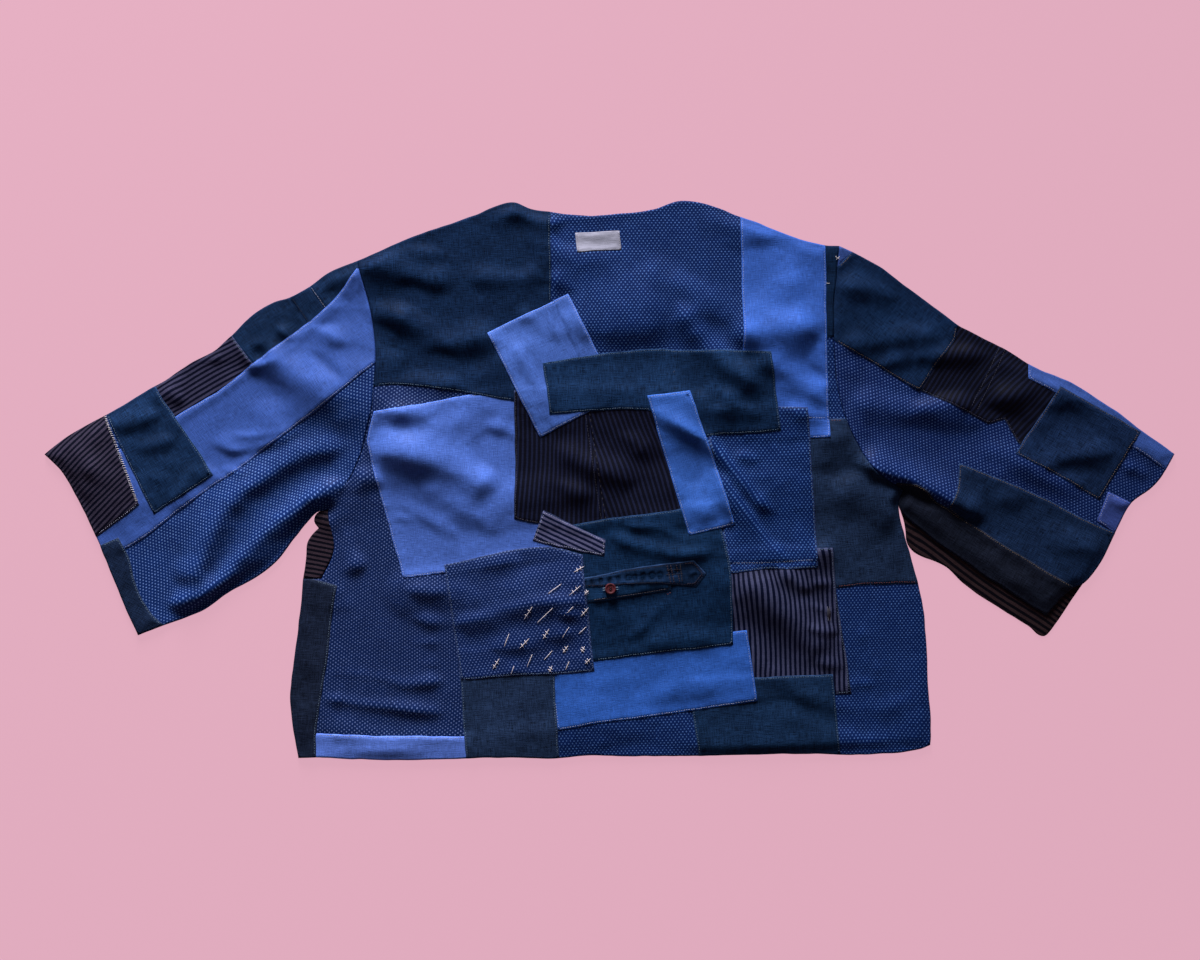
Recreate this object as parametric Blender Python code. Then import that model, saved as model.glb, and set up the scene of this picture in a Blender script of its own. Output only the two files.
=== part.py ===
"""Patched boro jacket, laid out flat with its back up.

One back, two fronts and two sleeves make the jacket. Scraps of worn cloth are sewn over the back and
the sleeves, and many lie over the edges of others. Every panel and every scrap is a wall of cloth of
its own: the fronts and the undersides of the sleeves lie flat, the back and the tops of the sleeves
lie on them with the jacket's large folds, and each scrap follows whatever is beneath it.

The cutting tables are in millimetres on the laid-out jacket: x across to the wearer's right from
its middle, y up from the hem. In the scene +X runs to the wearer's right, +Y from hem to neck and
+Z up, and the origin is the middle of the jacket's extent, on the surface that it lies on.
"""

from collections import namedtuple
from math import cos, hypot, pi, sin

import bmesh
import bpy
import numpy as np
from mathutils import Vector
from mathutils.geometry import delaunay_2d_cdt

MM = 0.001

# Driving sizes, in millimetres.
PANEL_WALL = 1.5  # shell cloth with its turned seams
SCRAP_WALL = 1.0
GAP = 0.3  # between pieces, at seams and between layers
LOFT = 1.8  # air under the back and the sleeve tops, away from their edges
EDGE_ROLL = 14.0  # the distance from an edge at which the loft is full
LATTICE = 64.0  # spacing of the free points between folds
FOLD_FOOT = 1.35  # a fold's foot lies this many widths from its crest
CURVE_STEPS = 6
SPAN = 1200.0  # more than the jacket's extent either way
BACK_SEAM = -100.0  # x of the seam between the two pieces of the back, hidden by scraps
CENTRE_FRONT = -6.0  # x of the opening between the fronts
FRONT_OPENING = 3.0
FRONT_NECK_DROP = 88.0
FRONT_NECK_PULL = 45.0
BUTTON_RADIUS = 5.5
BUTTON_HEIGHT = 2.4
BUTTON_RIM = 1.3
BUTTON_DISH = 0.7
BUTTON_HOLE_RADIUS = 0.6
BUTTON_HOLE_OFFSET = 1.3
BUTTON_PLACE = (1.0, 172.0)
BUTTON_SIDES = 24

Cloth = namedtuple("Cloth", "colour roughness metallic")
Fold = namedtuple("Fold", "start middle end width height")
Scrap = namedtuple("Scrap", "name cloth panel corners")

CLOTHS = {
    "dotted_indigo": Cloth((0.016, 0.040, 0.140), 0.85, 0.0),
    "blue_chambray": Cloth((0.048, 0.100, 0.360), 0.85, 0.0),
    "teal_denim": Cloth((0.009, 0.023, 0.068), 0.90, 0.0),
    "grey_stripe": Cloth((0.033, 0.030, 0.058), 0.85, 0.0),
    "dark_stripe": Cloth((0.008, 0.010, 0.026), 0.85, 0.0),
    "label_cotton": Cloth((0.450, 0.430, 0.480), 0.80, 0.0),
    "button_resin": Cloth((0.070, 0.018, 0.028), 0.35, 0.0),
}


def curve(start, pull_start, pull_end, end, steps=CURVE_STEPS):
    """Points of a cubic Bezier stretch, its two ends included."""
    points = []
    for i in range(steps + 1):
        t = i / steps
        weights = (1 - t) ** 3, 3 * t * (1 - t) ** 2, 3 * t * t * (1 - t), t**3
        corners = start, pull_start, pull_end, end
        points.append(tuple(sum(w * p[k] for w, p in zip(weights, corners)) for k in (0, 1)))
    return points


# Stretches of the panels' outlines. Each is named once and shared by the panels that it bounds.
NECK_LEFT, NECK_RIGHT = (-96, 559), (75, 561)
SHOULDER_LEFT, SHOULDER_RIGHT = (-252, 500), (229, 515)
ARMPIT_LEFT, ARMPIT_RIGHT = (-282, 251), (294, 270)
NECKLINE = curve(NECK_LEFT, (-70, 542), (20, 540), NECK_RIGHT)
SLOPE_RIGHT = [NECK_RIGHT, (130, 545), (214, 516), SHOULDER_RIGHT]
SLOPE_LEFT = [SHOULDER_LEFT, (-191, 526), (-134, 546), NECK_LEFT]
ARMHOLE_RIGHT = curve(SHOULDER_RIGHT, (219, 415), (222, 300), ARMPIT_RIGHT)
ARMHOLE_LEFT = curve(ARMPIT_LEFT, (-228, 310), (-225, 420), SHOULDER_LEFT)
SIDE_RIGHT = [ARMPIT_RIGHT, (289, 256), (302, 204), (311, 172), (318, 103), (322, 24), (311, 11)]
HEM_RIGHT = [(311, 11), (190, 6), (CENTRE_FRONT + FRONT_OPENING / 2, 3)]
HEM_LEFT = [(CENTRE_FRONT - FRONT_OPENING / 2, 3), (-220, 0), (-312, 2)]
SIDE_LEFT_LOW = [(-312, 2), (-320, 54), (-315, 112), (-307, 182)]
SIDE_LEFT_NOTCH = [(-307, 182), (-288, 182), (-276, 212), ARMPIT_LEFT]
SIDE_LEFT_EDGE = [(-307, 182), (-304, 202), (-302, 218), (-298, 225), (-291, 232), (-296, 239)]
UNDERARM_LEFT = [
    ARMPIT_LEFT, (-294, 248), (-303, 238), (-316, 222), (-335, 199), (-353, 185), (-386, 166),
    (-406, 151), (-438, 137), (-450, 133), (-472, 125),
]
CUFF_LEFT = [(-472, 125), (-486, 156), (-500, 191), (-512, 219), (-543, 279), (-552, 292), (-566, 306)]
TOP_LEFT = [
    (-566, 306), (-545, 323), (-503, 346), (-456, 374), (-418, 398), (-395, 410), (-380, 424),
    (-357, 447), (-336, 459), (-322, 463), (-301, 474), (-282, 487), SHOULDER_LEFT,
]
TOP_RIGHT = [
    SHOULDER_RIGHT, (238, 511), (271, 493), (310, 464), (349, 436), (391, 415), (420, 397),
    (465, 377), (547, 321), (566, 307),
]
CUFF_RIGHT = [(566, 307), (546, 276), (523, 257), (507, 229), (492, 198), (475, 176)]
UNDERARM_RIGHT = [(475, 176), (465, 172), (438, 145), (400, 169), (364, 193), (316, 228), (291, 249)]
UNDERSIDE_RIGHT = [
    (475, 176), (448, 136), (438, 125), (428, 125), (396, 149), (355, 177), (338, 193), (301, 213),
    (294, 240), (291, 249),
]
ARMPIT_EDGE_RIGHT = [(291, 249), (289, 256), ARMPIT_RIGHT]


def joined(*stretches):
    """One closed outline from stretches that follow each other."""
    return [point for stretch in stretches for point in stretch[:-1]]


BACK = joined(
    NECKLINE, SLOPE_RIGHT, ARMHOLE_RIGHT, SIDE_RIGHT, HEM_RIGHT, [HEM_RIGHT[-1], HEM_LEFT[0]], HEM_LEFT,
    SIDE_LEFT_LOW, SIDE_LEFT_NOTCH, ARMHOLE_LEFT, SLOPE_LEFT,
)
SLEEVE_LEFT = joined(TOP_LEFT, ARMHOLE_LEFT[::-1], UNDERARM_LEFT, CUFF_LEFT)
SLEEVE_RIGHT = joined(TOP_RIGHT, CUFF_RIGHT, UNDERARM_RIGHT, ARMPIT_EDGE_RIGHT, ARMHOLE_RIGHT[::-1])
SLEEVE_RIGHT_UNDER = joined(
    TOP_RIGHT, CUFF_RIGHT, UNDERSIDE_RIGHT, ARMPIT_EDGE_RIGHT, ARMHOLE_RIGHT[::-1]
)
NOTCH_TOP = [ARMPIT_LEFT, (-294, 247), (-296, 239)]
SIDE_PIECE = joined(SIDE_LEFT_NOTCH, NOTCH_TOP, SIDE_LEFT_EDGE[::-1])
FREE_EDGES = [
    NECKLINE, SLOPE_RIGHT, SLOPE_LEFT, SIDE_RIGHT, HEM_RIGHT, HEM_LEFT, SIDE_LEFT_LOW, SIDE_LEFT_EDGE,
    UNDERARM_LEFT, CUFF_LEFT, TOP_LEFT, TOP_RIGHT, CUFF_RIGHT, UNDERARM_RIGHT,
]

# The large folds. Height is above the loft, and below it where it is negative.
FOLDS = (
    # Left sleeve, from the armhole towards the cuff.
    Fold((-276, 326), (-354, 298), (-422, 200), 9.0, 5.0),
    Fold((-280, 313), (-362, 274), (-404, 188), 9.0, -3.5),
    Fold((-264, 296), (-326, 268), (-388, 182), 10.0, 5.5),
    Fold((-334, 412), (-304, 388), (-276, 364), 8.0, 3.0),
    # Left half of the back.
    Fold((-240, 324), (-170, 312), (-104, 270), 9.0, 4.5),
    Fold((-232, 306), (-174, 288), (-114, 252), 11.0, -3.2),
    Fold((-218, 260), (-154, 230), (-110, 212), 10.0, 3.0),
    Fold((-220, 466), (-184, 450), (-160, 426), 9.0, 3.0),
    # Right half of the back.
    Fold((166, 396), (192, 388), (218, 372), 9.0, 3.0),
    Fold((46, 352), (80, 336), (110, 306), 8.0, 3.5),
    Fold((112, 305), (142, 250), (178, 200), 8.0, 4.0),
    Fold((178, 192), (196, 162), (226, 132), 7.0, 3.0),
    Fold((204, 294), (230, 305), (256, 294), 9.0, -3.0),
    Fold((226, 276), (260, 288), (288, 264), 10.0, 3.5),
    # Right sleeve.
    Fold((247, 308), (290, 316), (350, 276), 9.0, 5.0),
    Fold((258, 294), (296, 298), (340, 264), 8.0, -3.5),
    Fold((236, 422), (270, 430), (306, 444), 9.0, 3.0),
    Fold((352, 268), (396, 245), (450, 200), 10.0, 3.0),
)

# Scraps in the order in which they are sewn on: a later one lies over an earlier one. A corner beyond
# its panel's outline means that the scrap ends with the panel.
SCRAPS = (
    Scrap("strip_teal_shoulder", "teal_denim", "back",
          [(202, 530), (240, 530), (240, 420), (202, 427)]),
    Scrap("patch_teal_side", "teal_denim", "back",
          [(190, 342), (262, 342), (322, 262), (322, 178), (260, 176), (227, 172), (194, 172)]),
    Scrap("patch_blue_left", "blue_chambray", "back",
          [(-236, 349), (-74, 377), (-54, 204), (-207, 182), (-243, 318)]),
    Scrap("yoke_teal", "teal_denim", "back",
          [(-262, 500), (-262, 572), (-59, 572), (-59, 358), (-94, 360), (-154, 369), (-212, 376),
           (-240, 373)]),
    Scrap("strip_blue_shoulder", "blue_chambray", "back",
          [(131, 556), (215, 556), (220, 323), (136, 323)]),
    Scrap("patch_dark_stripe", "dark_stripe", "back",
          [(-95, 370), (75, 371), (91, 239), (-10, 232), (-70, 237), (-95, 242)]),
    Scrap("patch_grey_stripe", "grey_stripe", "back",
          [(112, 208), (223, 213), (229, 160), (242, 67), (130, 63)]),
    Scrap("patch_dot_right", "dotted_indigo", "back",
          [(95, 352), (198, 354), (209, 193), (120, 188)]),
    Scrap("patch_teal_hem_right", "teal_denim", "back",
          [(80, 80), (223, 86), (233, -6), (91, -6)]),
    Scrap("strip_blue_low", "blue_chambray", "back",
          [(-59, 100), (137, 130), (147, 60), (-52, 31)]),
    Scrap("strip_blue_hem", "blue_chambray", "back",
          [(-304, 26), (-134, 23), (-134, -8), (-304, -8)]),
    Scrap("patch_teal_hem_centre", "teal_denim", "back",
          [(-151, 108), (-57, 113), (-49, -8), (-143, -8)]),
    Scrap("strip_teal_side", "teal_denim", "back",
          [(-322, 190), (-272, 174), (-288, 70), (-294, 26), (-294, -8), (-330, -8)]),
    Scrap("patch_teal_placket", "teal_denim", "back",
          [(-43, 235), (107, 257), (121, 190), (123, 116), (-31, 98)]),
    Scrap("placket_underlap", "teal_denim", "back",
          [(-33, 179), (62, 178), (61, 170), (-33, 156)]),
    Scrap("placket_strap", "teal_denim", "back",
          [(-33, 182), (55, 197), (84, 200), (96, 187), (86, 174), (50, 176), (-33, 173)]),
    Scrap("patch_dot_darned", "dotted_indigo", "back",
          [(-166, 196), (-60, 214), (-27, 206), (-15, 90), (-148, 80)]),
    Scrap("patch_blue_tilted", "blue_chambray", "back",
          [(-122, 428), (-42, 467), (11, 366), (-69, 323)]),
    Scrap("band_teal", "teal_denim", "back",
          [(-67, 397), (-13, 407), (64, 411), (161, 409), (171, 330), (70, 322), (66, 348), (12, 351),
           (-60, 346)]),
    Scrap("strip_blue_tilted", "blue_chambray", "back",
          [(37, 364), (81, 370), (126, 236), (80, 226)]),
    Scrap("scrap_grey_stripe", "grey_stripe", "back",
          [(-65, 250), (-4, 220), (-6, 204), (-77, 220)]),
    Scrap("neck_label", "label_cotton", "back",
          [(-34, 528), (10, 530), (12, 511), (-32, 508)]),
    Scrap("sleeve_left_teal_top", "teal_denim", "sleeve_left",
          [(-247, 510), (-247, 475), (-334, 400), (-355, 394), (-381, 425), (-388, 436), (-310, 491)]),
    Scrap("sleeve_left_stripe", "grey_stripe", "sleeve_left",
          [(-387, 435), (-378, 425), (-352, 392), (-439, 332), (-462, 381)]),
    Scrap("sleeve_left_blue", "blue_chambray", "sleeve_left",
          [(-252, 492), (-225, 492), (-225, 406), (-306, 340), (-418, 260), (-482, 214), (-524, 200),
           (-524, 290), (-434, 344), (-379, 378), (-338, 412), (-282, 455), (-265, 473)]),
    Scrap("sleeve_left_teal_square", "teal_denim", "sleeve_left",
          [(-510, 360), (-464, 389), (-396, 286), (-456, 246)]),
    Scrap("cuff_left_stripe", "grey_stripe", "sleeve_left",
          [(-580, 300), (-505, 351), (-470, 256), (-520, 219)]),
    Scrap("cuff_left_teal", "teal_denim", "sleeve_left",
          [(-520, 211), (-491, 224), (-481, 205), (-475, 181), (-467, 161), (-458, 147), (-446, 135),
           (-446, 118), (-485, 118)]),
    Scrap("shoulder_scrap_blue", "blue_chambray", "sleeve_right",
          [(224, 520), (248, 512), (224, 490)]),
    Scrap("sleeve_right_dark_stripe", "dark_stripe", "sleeve_right",
          [(326, 470), (430, 406), (456, 360), (420, 310), (409, 318), (396, 341), (379, 336),
           (355, 349), (302, 375)]),
    Scrap("sleeve_right_teal_cap", "teal_denim", "sleeve_right",
          [(218, 488), (229, 496), (241, 510), (252, 540), (366, 450), (348, 433), (346, 422),
           (326, 395), (310, 370), (226, 420), (215, 428)]),
    Scrap("sleeve_right_blue_edge", "blue_chambray", "sleeve_right",
          [(419, 410), (419, 383), (446, 368), (490, 335), (526, 312), (580, 274), (590, 320)]),
    Scrap("sleeve_right_teal_square", "teal_denim", "sleeve_right",
          [(451, 375), (532, 330), (491, 261), (406, 307)]),
    Scrap("cuff_right_blue", "blue_chambray", "sleeve_right",
          [(500, 269), (532, 253), (515, 222), (488, 241)]),
    Scrap("sleeve_right_teal_upper", "teal_denim", "sleeve_right",
          [(350, 296), (413, 272), (507, 228), (520, 222), (488, 160), (465, 168), (400, 208),
           (337, 252), (348, 274)]),
    Scrap("sleeve_right_teal_lower", "teal_denim", "sleeve_right",
          [(286, 278), (296, 277), (306, 276), (316, 270), (326, 259), (338, 252), (401, 212),
           (466, 172), (438, 140), (420, 130), (280, 220), (280, 262)]),
)


def inside(outline, point):
    """Whether a point lies within a closed outline."""
    x, y = point
    found = False
    for (ax, ay), (bx, by) in zip(outline, outline[1:] + outline[:1]):
        if (ay > y) != (by > y) and x < ax + (y - ay) * (bx - ax) / (by - ay):
            found = not found
    return found


def signed_area(outline):
    return sum(ax * by - bx * ay for (ax, ay), (bx, by) in zip(outline, outline[1:] + outline[:1])) / 2


def grown(outline, by):
    """The outline with every side moved outwards by that distance, or inwards if it is negative."""
    side = by if signed_area(outline) > 0 else -by
    moved = []
    for before, here, after in zip(outline[-1:] + outline[:-1], outline, outline[1:] + outline[:1]):
        first = Vector(here) - Vector(before)
        second = Vector(after) - Vector(here)
        out_first = Vector((first.y, -first.x)).normalized()
        out_second = Vector((second.y, -second.x)).normalized()
        middle = (out_first + out_second) / (1 + out_first.dot(out_second))
        moved.append(tuple(Vector(here) + side * middle))
    return moved


def distance_to(stretch, point):
    """How far a point is from an open run of straight sides."""
    best = float("inf")
    for (ax, ay), (bx, by) in zip(stretch, stretch[1:]):
        dx, dy = bx - ax, by - ay
        along = ((point[0] - ax) * dx + (point[1] - ay) * dy) / (dx * dx + dy * dy)
        along = min(1.0, max(0.0, along))
        best = min(best, hypot(point[0] - ax - along * dx, point[1] - ay - along * dy))
    return best


def crest(fold, steps=4):
    """Points along a fold's crest, a parabola through its start, middle and end."""
    pull = [2 * m - (s + e) / 2 for s, m, e in zip(fold.start, fold.middle, fold.end)]
    points = []
    for i in range(steps + 1):
        t = i / steps
        weights = (1 - t) ** 2, 2 * t * (1 - t), t * t
        points.append(
            tuple(weights[0] * s + weights[1] * p + weights[2] * e
                  for s, p, e in zip(fold.start, pull, fold.end))
        )
    return points


def ease(t):
    """0 to 1, level at both ends."""
    t = min(1.0, max(0.0, t))
    return t * t * (3 - 2 * t)


def fold_share(fold, point):
    """How much of a fold's height a point has: full on the crest, none past its foot and ends."""
    line = crest(fold, steps=8)
    reach = distance_to(line, point) / (FOLD_FOOT * fold.width)
    if reach >= 1:
        return 0.0
    nearest = min(range(len(line)), key=lambda i: hypot(line[i][0] - point[0], line[i][1] - point[1]))
    along = nearest / (len(line) - 1)
    taper = ease(min(along, 1 - along) * 4 + 0.15)
    return ease(1 - reach) * taper


def lift(point):
    """Height of the air under the back and the sleeve tops at a point."""
    to_edge = min(distance_to(edge, point) for edge in FREE_EDGES)
    loft = LOFT * ease(to_edge / EDGE_ROLL)
    folds = sum(fold.height * fold_share(fold, point) for fold in FOLDS)
    return max(0.0, loft + folds * ease(to_edge / EDGE_ROLL))


class Skin:
    """The upper surface of a piece: flat triangles over its plan."""

    def __init__(self, outline, points, triangles, heights):
        self.outline = outline
        self.points = points
        self.triangles = triangles
        self.heights = np.array(heights)
        corners = np.array(points)[np.array(triangles)]
        self.origin = corners[:, 0]
        self.sides = np.stack([corners[:, 1] - self.origin, corners[:, 2] - self.origin], axis=-1)
        self.inverse = np.linalg.inv(self.sides)

    def height(self, point):
        """Height at a point, carried on a little past the skin's edge."""
        share = np.einsum("nij,nj->ni", self.inverse, np.array(point) - self.origin)
        share = np.column_stack([1 - share.sum(axis=1), share])
        best = int(share.min(axis=1).argmax())
        return float(share[best] @ self.heights[list(self.triangles[best])])

    def edges(self):
        found = set()
        for a, b, c in self.triangles:
            found |= {(min(a, b), max(a, b)), (min(b, c), max(b, c)), (min(a, c), max(a, c))}
        return sorted(found)


class Plan:
    """Points and lines that a piece's triangles have to follow, seen from above."""

    def __init__(self):
        self.points = []
        self.lines = []

    def add_line(self, line, closed=False):
        first = len(self.points)
        self.points += line
        self.lines += [(first + i, first + i + 1) for i in range(len(line) - 1)]
        if closed:
            self.lines.append((first + len(line) - 1, first))

    def triangles(self, *outlines):
        """(points, triangles) of the part of the plan that lies within every outline."""
        made = delaunay_2d_cdt([Vector(p) for p in self.points], self.lines, [], 0, 1e-3)
        points = [tuple(p) for p in made[0]]
        kept = []
        for a, b, c in made[2]:
            middle = tuple(sum(points[i][k] for i in (a, b, c)) / 3 for k in (0, 1))
            (ax, ay), (bx, by), (cx, cy) = points[a], points[b], points[c]
            twice_area = (bx - ax) * (cy - ay) - (cx - ax) * (by - ay)
            if abs(twice_area) > 1e-3 and all(inside(outline, middle) for outline in outlines):
                kept.append((a, b, c) if twice_area > 0 else (a, c, b))
        used = sorted({i for triangle in kept for i in triangle})
        place = {old: new for new, old in enumerate(used)}
        return [points[i] for i in used], [tuple(place[i] for i in triangle) for triangle in kept]


def clear_scene():
    for found in list(bpy.data.objects):
        bpy.data.objects.remove(found, do_unlink=True)


def make_materials():
    made = {}
    for name, cloth in CLOTHS.items():
        material = bpy.data.materials.new(name)
        material.use_nodes = True
        shader = material.node_tree.nodes["Principled BSDF"]
        shader.inputs["Base Color"].default_value = (*cloth.colour, 1.0)
        shader.inputs["Roughness"].default_value = cloth.roughness
        shader.inputs["Metallic"].default_value = cloth.metallic
        made[name] = material
    return made


def extent_middle():
    """The middle of the laid-out jacket, in cutting-table millimetres."""
    corners = BACK + SLEEVE_LEFT + SLEEVE_RIGHT_UNDER
    return [(min(p[k] for p in corners) + max(p[k] for p in corners)) / 2 for k in (0, 1)]


MIDDLE = extent_middle()


def place(x, y, z):
    """Cutting-table millimetres to metres in the scene."""
    return ((x - MIDDLE[0]) * MM, (y - MIDDLE[1]) * MM, z * MM)


def add_object(name, mesh, material):
    mesh.materials.append(material)
    made = bpy.data.objects.new(name, mesh)
    bpy.context.scene.collection.objects.link(made)
    return made


def add_wall(name, points, triangles, undersides, wall, material):
    """A closed wall of cloth: its underside, the same surface moved up by the wall, and its rim."""
    count = len(points)
    vertices = [place(x, y, z) for (x, y), z in zip(points, undersides)]
    vertices += [place(x, y, z + wall) for (x, y), z in zip(points, undersides)]
    faces = [(a + count, b + count, c + count) for a, b, c in triangles]
    faces += [(c, b, a) for a, b, c in triangles]
    directed = {(t[i], t[(i + 1) % 3]) for t in triangles for i in range(3)}
    rim = [(a, b) for a, b in sorted(directed) if (b, a) not in directed]
    for a, b in rim:
        faces += [(a, b, b + count), (a, b + count, a + count)]
    mesh = bpy.data.meshes.new(name)
    mesh.from_pydata(vertices, [], faces)
    return add_object(name, mesh, material)


def add_flat_panel(name, outline, material):
    """A panel that lies flat on the surface, under the back or under a sleeve."""
    cut = grown(outline, -GAP / 2)
    plan = Plan()
    plan.add_line(cut, closed=True)
    points, triangles = plan.triangles(cut)
    return add_wall(name, points, triangles, [0.0] * len(points), PANEL_WALL, material)


def free_points(outline):
    """Evenly spread points between the folds, well inside a panel's outline."""
    found = []
    low = [min(p[k] for p in outline) for k in (0, 1)]
    high = [max(p[k] for p in outline) for k in (0, 1)]
    for row in range(int((high[1] - low[1]) / LATTICE) + 1):
        for column in range(int((high[0] - low[0]) / LATTICE) + 1):
            point = (low[0] + (column + 0.5 * (row % 2)) * LATTICE, low[1] + row * LATTICE)
            clear = min(distance_to(crest(fold), point) for fold in FOLDS)
            border = distance_to(outline + outline[:1], point)
            if inside(outline, point) and clear > 0.5 * LATTICE and border > 2 * EDGE_ROLL:
                found.append(point)
    return found


def fold_lines(fold):
    """A fold's crest and, either side of it, its feet."""
    line = crest(fold)
    feet = []
    for side in (-1, 1):
        foot = []
        for i, here in enumerate(line):
            before, after = line[max(i - 1, 0)], line[min(i + 1, len(line) - 1)]
            run = Vector(after) - Vector(before)
            across = Vector((-run.y, run.x)).normalized() * side * FOLD_FOOT * fold.width
            foot.append(tuple(Vector(here) + across))
        feet.append(foot)
    return [line, *feet]


def add_draped_panel(outline, pieces, material):
    """A panel with the large folds, for the back or the top of a sleeve. Returns its upper surface.

    pieces has a row (name, lowest x, highest x) for each piece of cloth that the panel is sewn from.
    """
    cut = grown(outline, -GAP / 2)
    plan = Plan()
    plan.add_line(cut, closed=True)
    plan.add_line(grown(cut, -EDGE_ROLL), closed=True)
    for fold in FOLDS:
        if inside(cut, fold.middle):
            for line in fold_lines(fold):
                plan.add_line(line)
    for point in free_points(cut):
        plan.add_line([point])
    low, high = min(y for _, y in cut), max(y for _, y in cut)
    for _, *sides in pieces:
        for x in sides:
            if min(x for x, _ in cut) < x < max(x for x, _ in cut):
                plan.add_line([(x, low), (x, high)])
    points, triangles = plan.triangles(cut)
    undersides = [PANEL_WALL + GAP + lift(point) for point in points]
    for name, lowest, highest in pieces:
        own = [t for t in triangles if lowest < sum(points[i][0] for i in t) / 3 < highest]
        used = sorted({i for triangle in own for i in triangle})
        order = {old: new for new, old in enumerate(used)}
        own = [tuple(order[i] for i in triangle) for triangle in own]
        add_wall(name, [points[i] for i in used], own, [undersides[i] for i in used], PANEL_WALL, material)
    return Skin(cut, points, triangles, [z + PANEL_WALL for z in undersides])


def near(outline, line, reach=1.0):
    """Whether the box round a line comes near the box round an outline."""
    return all(
        min(p[k] for p in line) < max(p[k] for p in outline) + reach
        and max(p[k] for p in line) > min(p[k] for p in outline) - reach
        for k in (0, 1)
    )


def add_scrap(scrap, panel, below, material):
    """A scrap sewn on a panel. It rests on the panel and on each earlier scrap that it covers."""
    outline = [(float(x), float(y)) for x, y in scrap.corners]
    plan = Plan()
    plan.add_line(outline, closed=True)
    for a, b in panel.edges():
        line = [panel.points[a], panel.points[b]]
        if near(outline, line):
            plan.add_line(line)
    rims = [(grown(skin.outline, GAP), skin) for skin in below if near(outline, skin.outline)]
    for rim, skin in rims:
        plan.add_line(rim, closed=True)
        for a, b in skin.edges():
            line = [skin.points[a], skin.points[b]]
            if near(outline, line):
                plan.add_line(line)
    points, triangles = plan.triangles(outline, panel.outline)
    undersides = []
    for point in points:
        heights = [skin.height(point) for rim, skin in rims if inside(grown(rim, GAP / 10), point)]
        undersides.append(GAP + max([panel.height(point), *heights]))
    add_wall(scrap.name, points, triangles, undersides, SCRAP_WALL, material)
    return Skin(outline, points, triangles, [z + SCRAP_WALL for z in undersides])


def add_button(skins, material):
    """A four-hole sewing button with a raised rim, resting on the highest cloth beneath it."""
    x, y = BUTTON_PLACE
    round_it = [(x + BUTTON_RADIUS * cos(i * pi / 4), y + BUTTON_RADIUS * sin(i * pi / 4)) for i in range(8)]
    rest = GAP + max(
        skin.height(p) for p in [BUTTON_PLACE, *round_it] for skin in skins if inside(skin.outline, p)
    )
    body = bmesh.new()
    profile = (
        (0.0, 0.0), (BUTTON_RADIUS - 0.6, 0.0), (BUTTON_RADIUS, 0.6), (BUTTON_RADIUS, BUTTON_HEIGHT - 0.5),
        (BUTTON_RADIUS - 0.5, BUTTON_HEIGHT), (BUTTON_RADIUS - BUTTON_RIM, BUTTON_HEIGHT),
        (BUTTON_RADIUS - BUTTON_RIM - 0.5, BUTTON_HEIGHT - BUTTON_DISH), (0.0, BUTTON_HEIGHT - BUTTON_DISH),
    )
    line = [body.verts.new((r * MM, 0.0, z * MM)) for r, z in profile]
    sides = [body.edges.new(pair) for pair in zip(line, line[1:])]
    bmesh.ops.spin(
        body, geom=line + sides, cent=(0, 0, 0), axis=(0, 0, 1), angle=2 * pi, steps=BUTTON_SIDES,
        use_merge=True,
    )
    bmesh.ops.remove_doubles(body, verts=body.verts, dist=1e-6)
    bmesh.ops.recalc_face_normals(body, faces=body.faces)
    mesh = bpy.data.meshes.new("button")
    body.to_mesh(mesh)
    body.free()
    mesh.shade_smooth()
    mesh.set_sharp_from_angle(angle=pi / 6)
    button = add_object("button", mesh, material)
    button.location = place(x, y, rest)
    for i in range(4):
        turn = (i + 0.5) * pi / 2
        centre = (BUTTON_HOLE_OFFSET * MM * cos(turn), BUTTON_HOLE_OFFSET * MM * sin(turn), 0.0)
        cutter = add_cutter(f"button_hole_{i}", centre, button)
        cut = button.modifiers.new(f"hole_{i}", "BOOLEAN")
        cut.operation = "DIFFERENCE"
        cut.object = cutter
    return button


def add_cutter(name, centre, parent):
    """A drill for one of the button's holes, longer than the button is high."""
    drill = bmesh.new()
    bmesh.ops.create_cone(
        drill, cap_ends=True, segments=10, radius1=BUTTON_HOLE_RADIUS * MM, radius2=BUTTON_HOLE_RADIUS * MM,
        depth=4 * BUTTON_HEIGHT * MM,
    )
    mesh = bpy.data.meshes.new(name)
    drill.to_mesh(mesh)
    drill.free()
    cutter = bpy.data.objects.new(name, mesh)
    bpy.context.scene.collection.objects.link(cutter)
    cutter.parent = parent
    cutter.location = centre
    cutter.hide_render = True
    cutter.display_type = "WIRE"
    return cutter


def front_outline(side):
    """A front's outline: the back's shoulder, armhole, side and hem, with a lower neckline of its own."""
    edge = CENTRE_FRONT + side * FRONT_OPENING / 2
    low_neck = (edge, NECK_RIGHT[1] - FRONT_NECK_DROP)
    high_neck = NECK_RIGHT if side > 0 else NECK_LEFT
    pull_low = (edge + side * FRONT_NECK_PULL, low_neck[1] + 4)
    pull_high = (high_neck[0] - side * 4, low_neck[1] + FRONT_NECK_PULL)
    neck = curve(low_neck, pull_low, pull_high, high_neck)
    if side > 0:
        return joined(neck, SLOPE_RIGHT, ARMHOLE_RIGHT, SIDE_RIGHT, HEM_RIGHT, [HEM_RIGHT[-1], low_neck])
    side_left = [*SIDE_LEFT_LOW[:-1], *SIDE_LEFT_EDGE, *NOTCH_TOP[1::-1]]
    centre = [low_neck, HEM_LEFT[0]]
    return joined(neck[::-1], centre, HEM_LEFT, side_left, ARMHOLE_LEFT, SLOPE_LEFT)


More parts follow.
